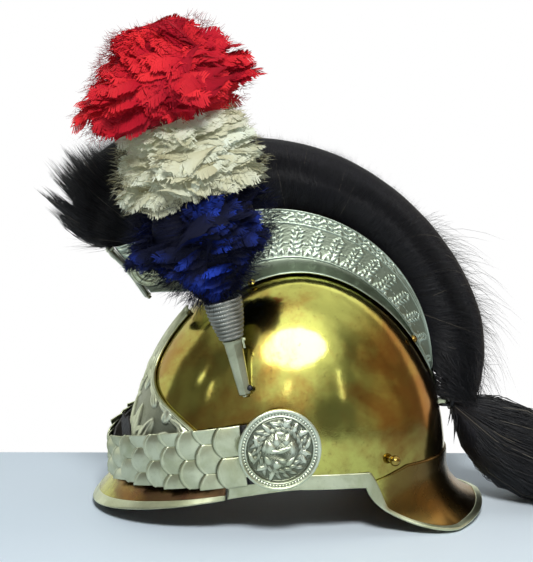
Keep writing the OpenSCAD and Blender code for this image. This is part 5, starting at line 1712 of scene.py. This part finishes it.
bothLights = w.add("ShaderNodeMixShader", {}, {0: seenInMetal, 1: plainLight, 2: mirrorLight})
seen = w.add("ShaderNodeMath", {"operation": "MAXIMUM"},
             {0: lightPath("Is Camera Ray"), 1: lightPath("Is Transmission Ray")})
allLights = w.add("ShaderNodeMixShader", {}, {0: seen, 1: bothLights, 2: whiteBack})
w.add("ShaderNodeOutputWorld", {}, {0: allLights})


def lamp(name, spot, direction, distance, size, glow, colour=(1, 1, 1), shape="RECTANGLE"):
    # faces a spot in millimetres from a direction and a distance in metres
    light = bpy.data.lights.new(name, "AREA")
    light.shape = shape
    light.size, light.size_y = size
    light.energy = glow * math.pi * size[0] * size[1]
    light.color = colour
    place = Vector(spot) * mm + Vector(direction).normalized() * distance
    aim = (Vector(spot) * mm - place).normalized()
    thing = bpy.data.objects.new(name, light)
    thing.matrix_world = Matrix.Translation(place) @ aim.to_track_quat("-Z", "Y").to_matrix().to_4x4()
    scene.collection.objects.link(thing)
    return thing


frontSoft = lamp("front_soft", (20, -10, 110), (0.7, -0.04, 0.7), 1.6, (0.36, 0.3), 66.0, (1.0, 0.995, 0.97))
backSoft = lamp("back_soft", (0, 60, 80), (-0.1, 0.62, 0.78), 1.6, (1.0, 1.0), 0.9)
frontSoft.visible_glossy = backSoft.visible_glossy = False  # the metal mirrors the window instead
key = lamp("key_window", (77.9, -7.8, 109.2), (0.795, -0.01, 0.605), 1.2, (1.05, 0.56), 5.5, shape="ELLIPSE")
key.visible_diffuse = False
lamp("small_window", (87.9, -15.8, 78.1), (0.963, -0.07, 0.26), 1.5, (0.12, 0.14), 3.0)
lamp("streak_strip", (85.6, 26.6, 80.4), (0.82, 0.509, 0.262), 1.4, (0.06, 0.3), 2.5)
lamp("glint_front", (62.9, -78.9, 81.6), (0.302, -0.889, 0.344), 1.4, (0.05, 0.16), 3.0)
lamp("glint_low", (70.6, -72.2, 73.0), (0.515, -0.815, 0.265), 1.4, (0.05, 0.16), 3.0)

# table, in metres: its far edge lies just behind the helmet as the camera sees it
table = dict(low=(-0.151, -3.0), high=(3.0, 3.0), top=-0.0402)


def tableTop():
    bm = bmesh.new()
    bmesh.ops.create_grid(bm, x_segments=1, y_segments=1, size=0.5)
    shares = spotsOf(bm)[:, :2] + 0.5
    corners = mix(np.array(table["low"]), np.array(table["high"]), shares)
    moveVerts(bm, vec(corners[:, 0], corners[:, 1], table["top"]))
    mesh = bpy.data.meshes.new("table")
    bm.to_mesh(mesh)
    bm.free()
    f = Finish("table_top", None)
    f.set(Base_Color=f.blendColour(f.noise(1.5, 2, f.spot()), paint(238, 248, 255), paint(220, 238, 255)),
          Roughness=0.6)
    mesh.materials.append(f.material)
    thing = bpy.data.objects.new("table", mesh)
    scene.collection.objects.link(thing)


tableTop()
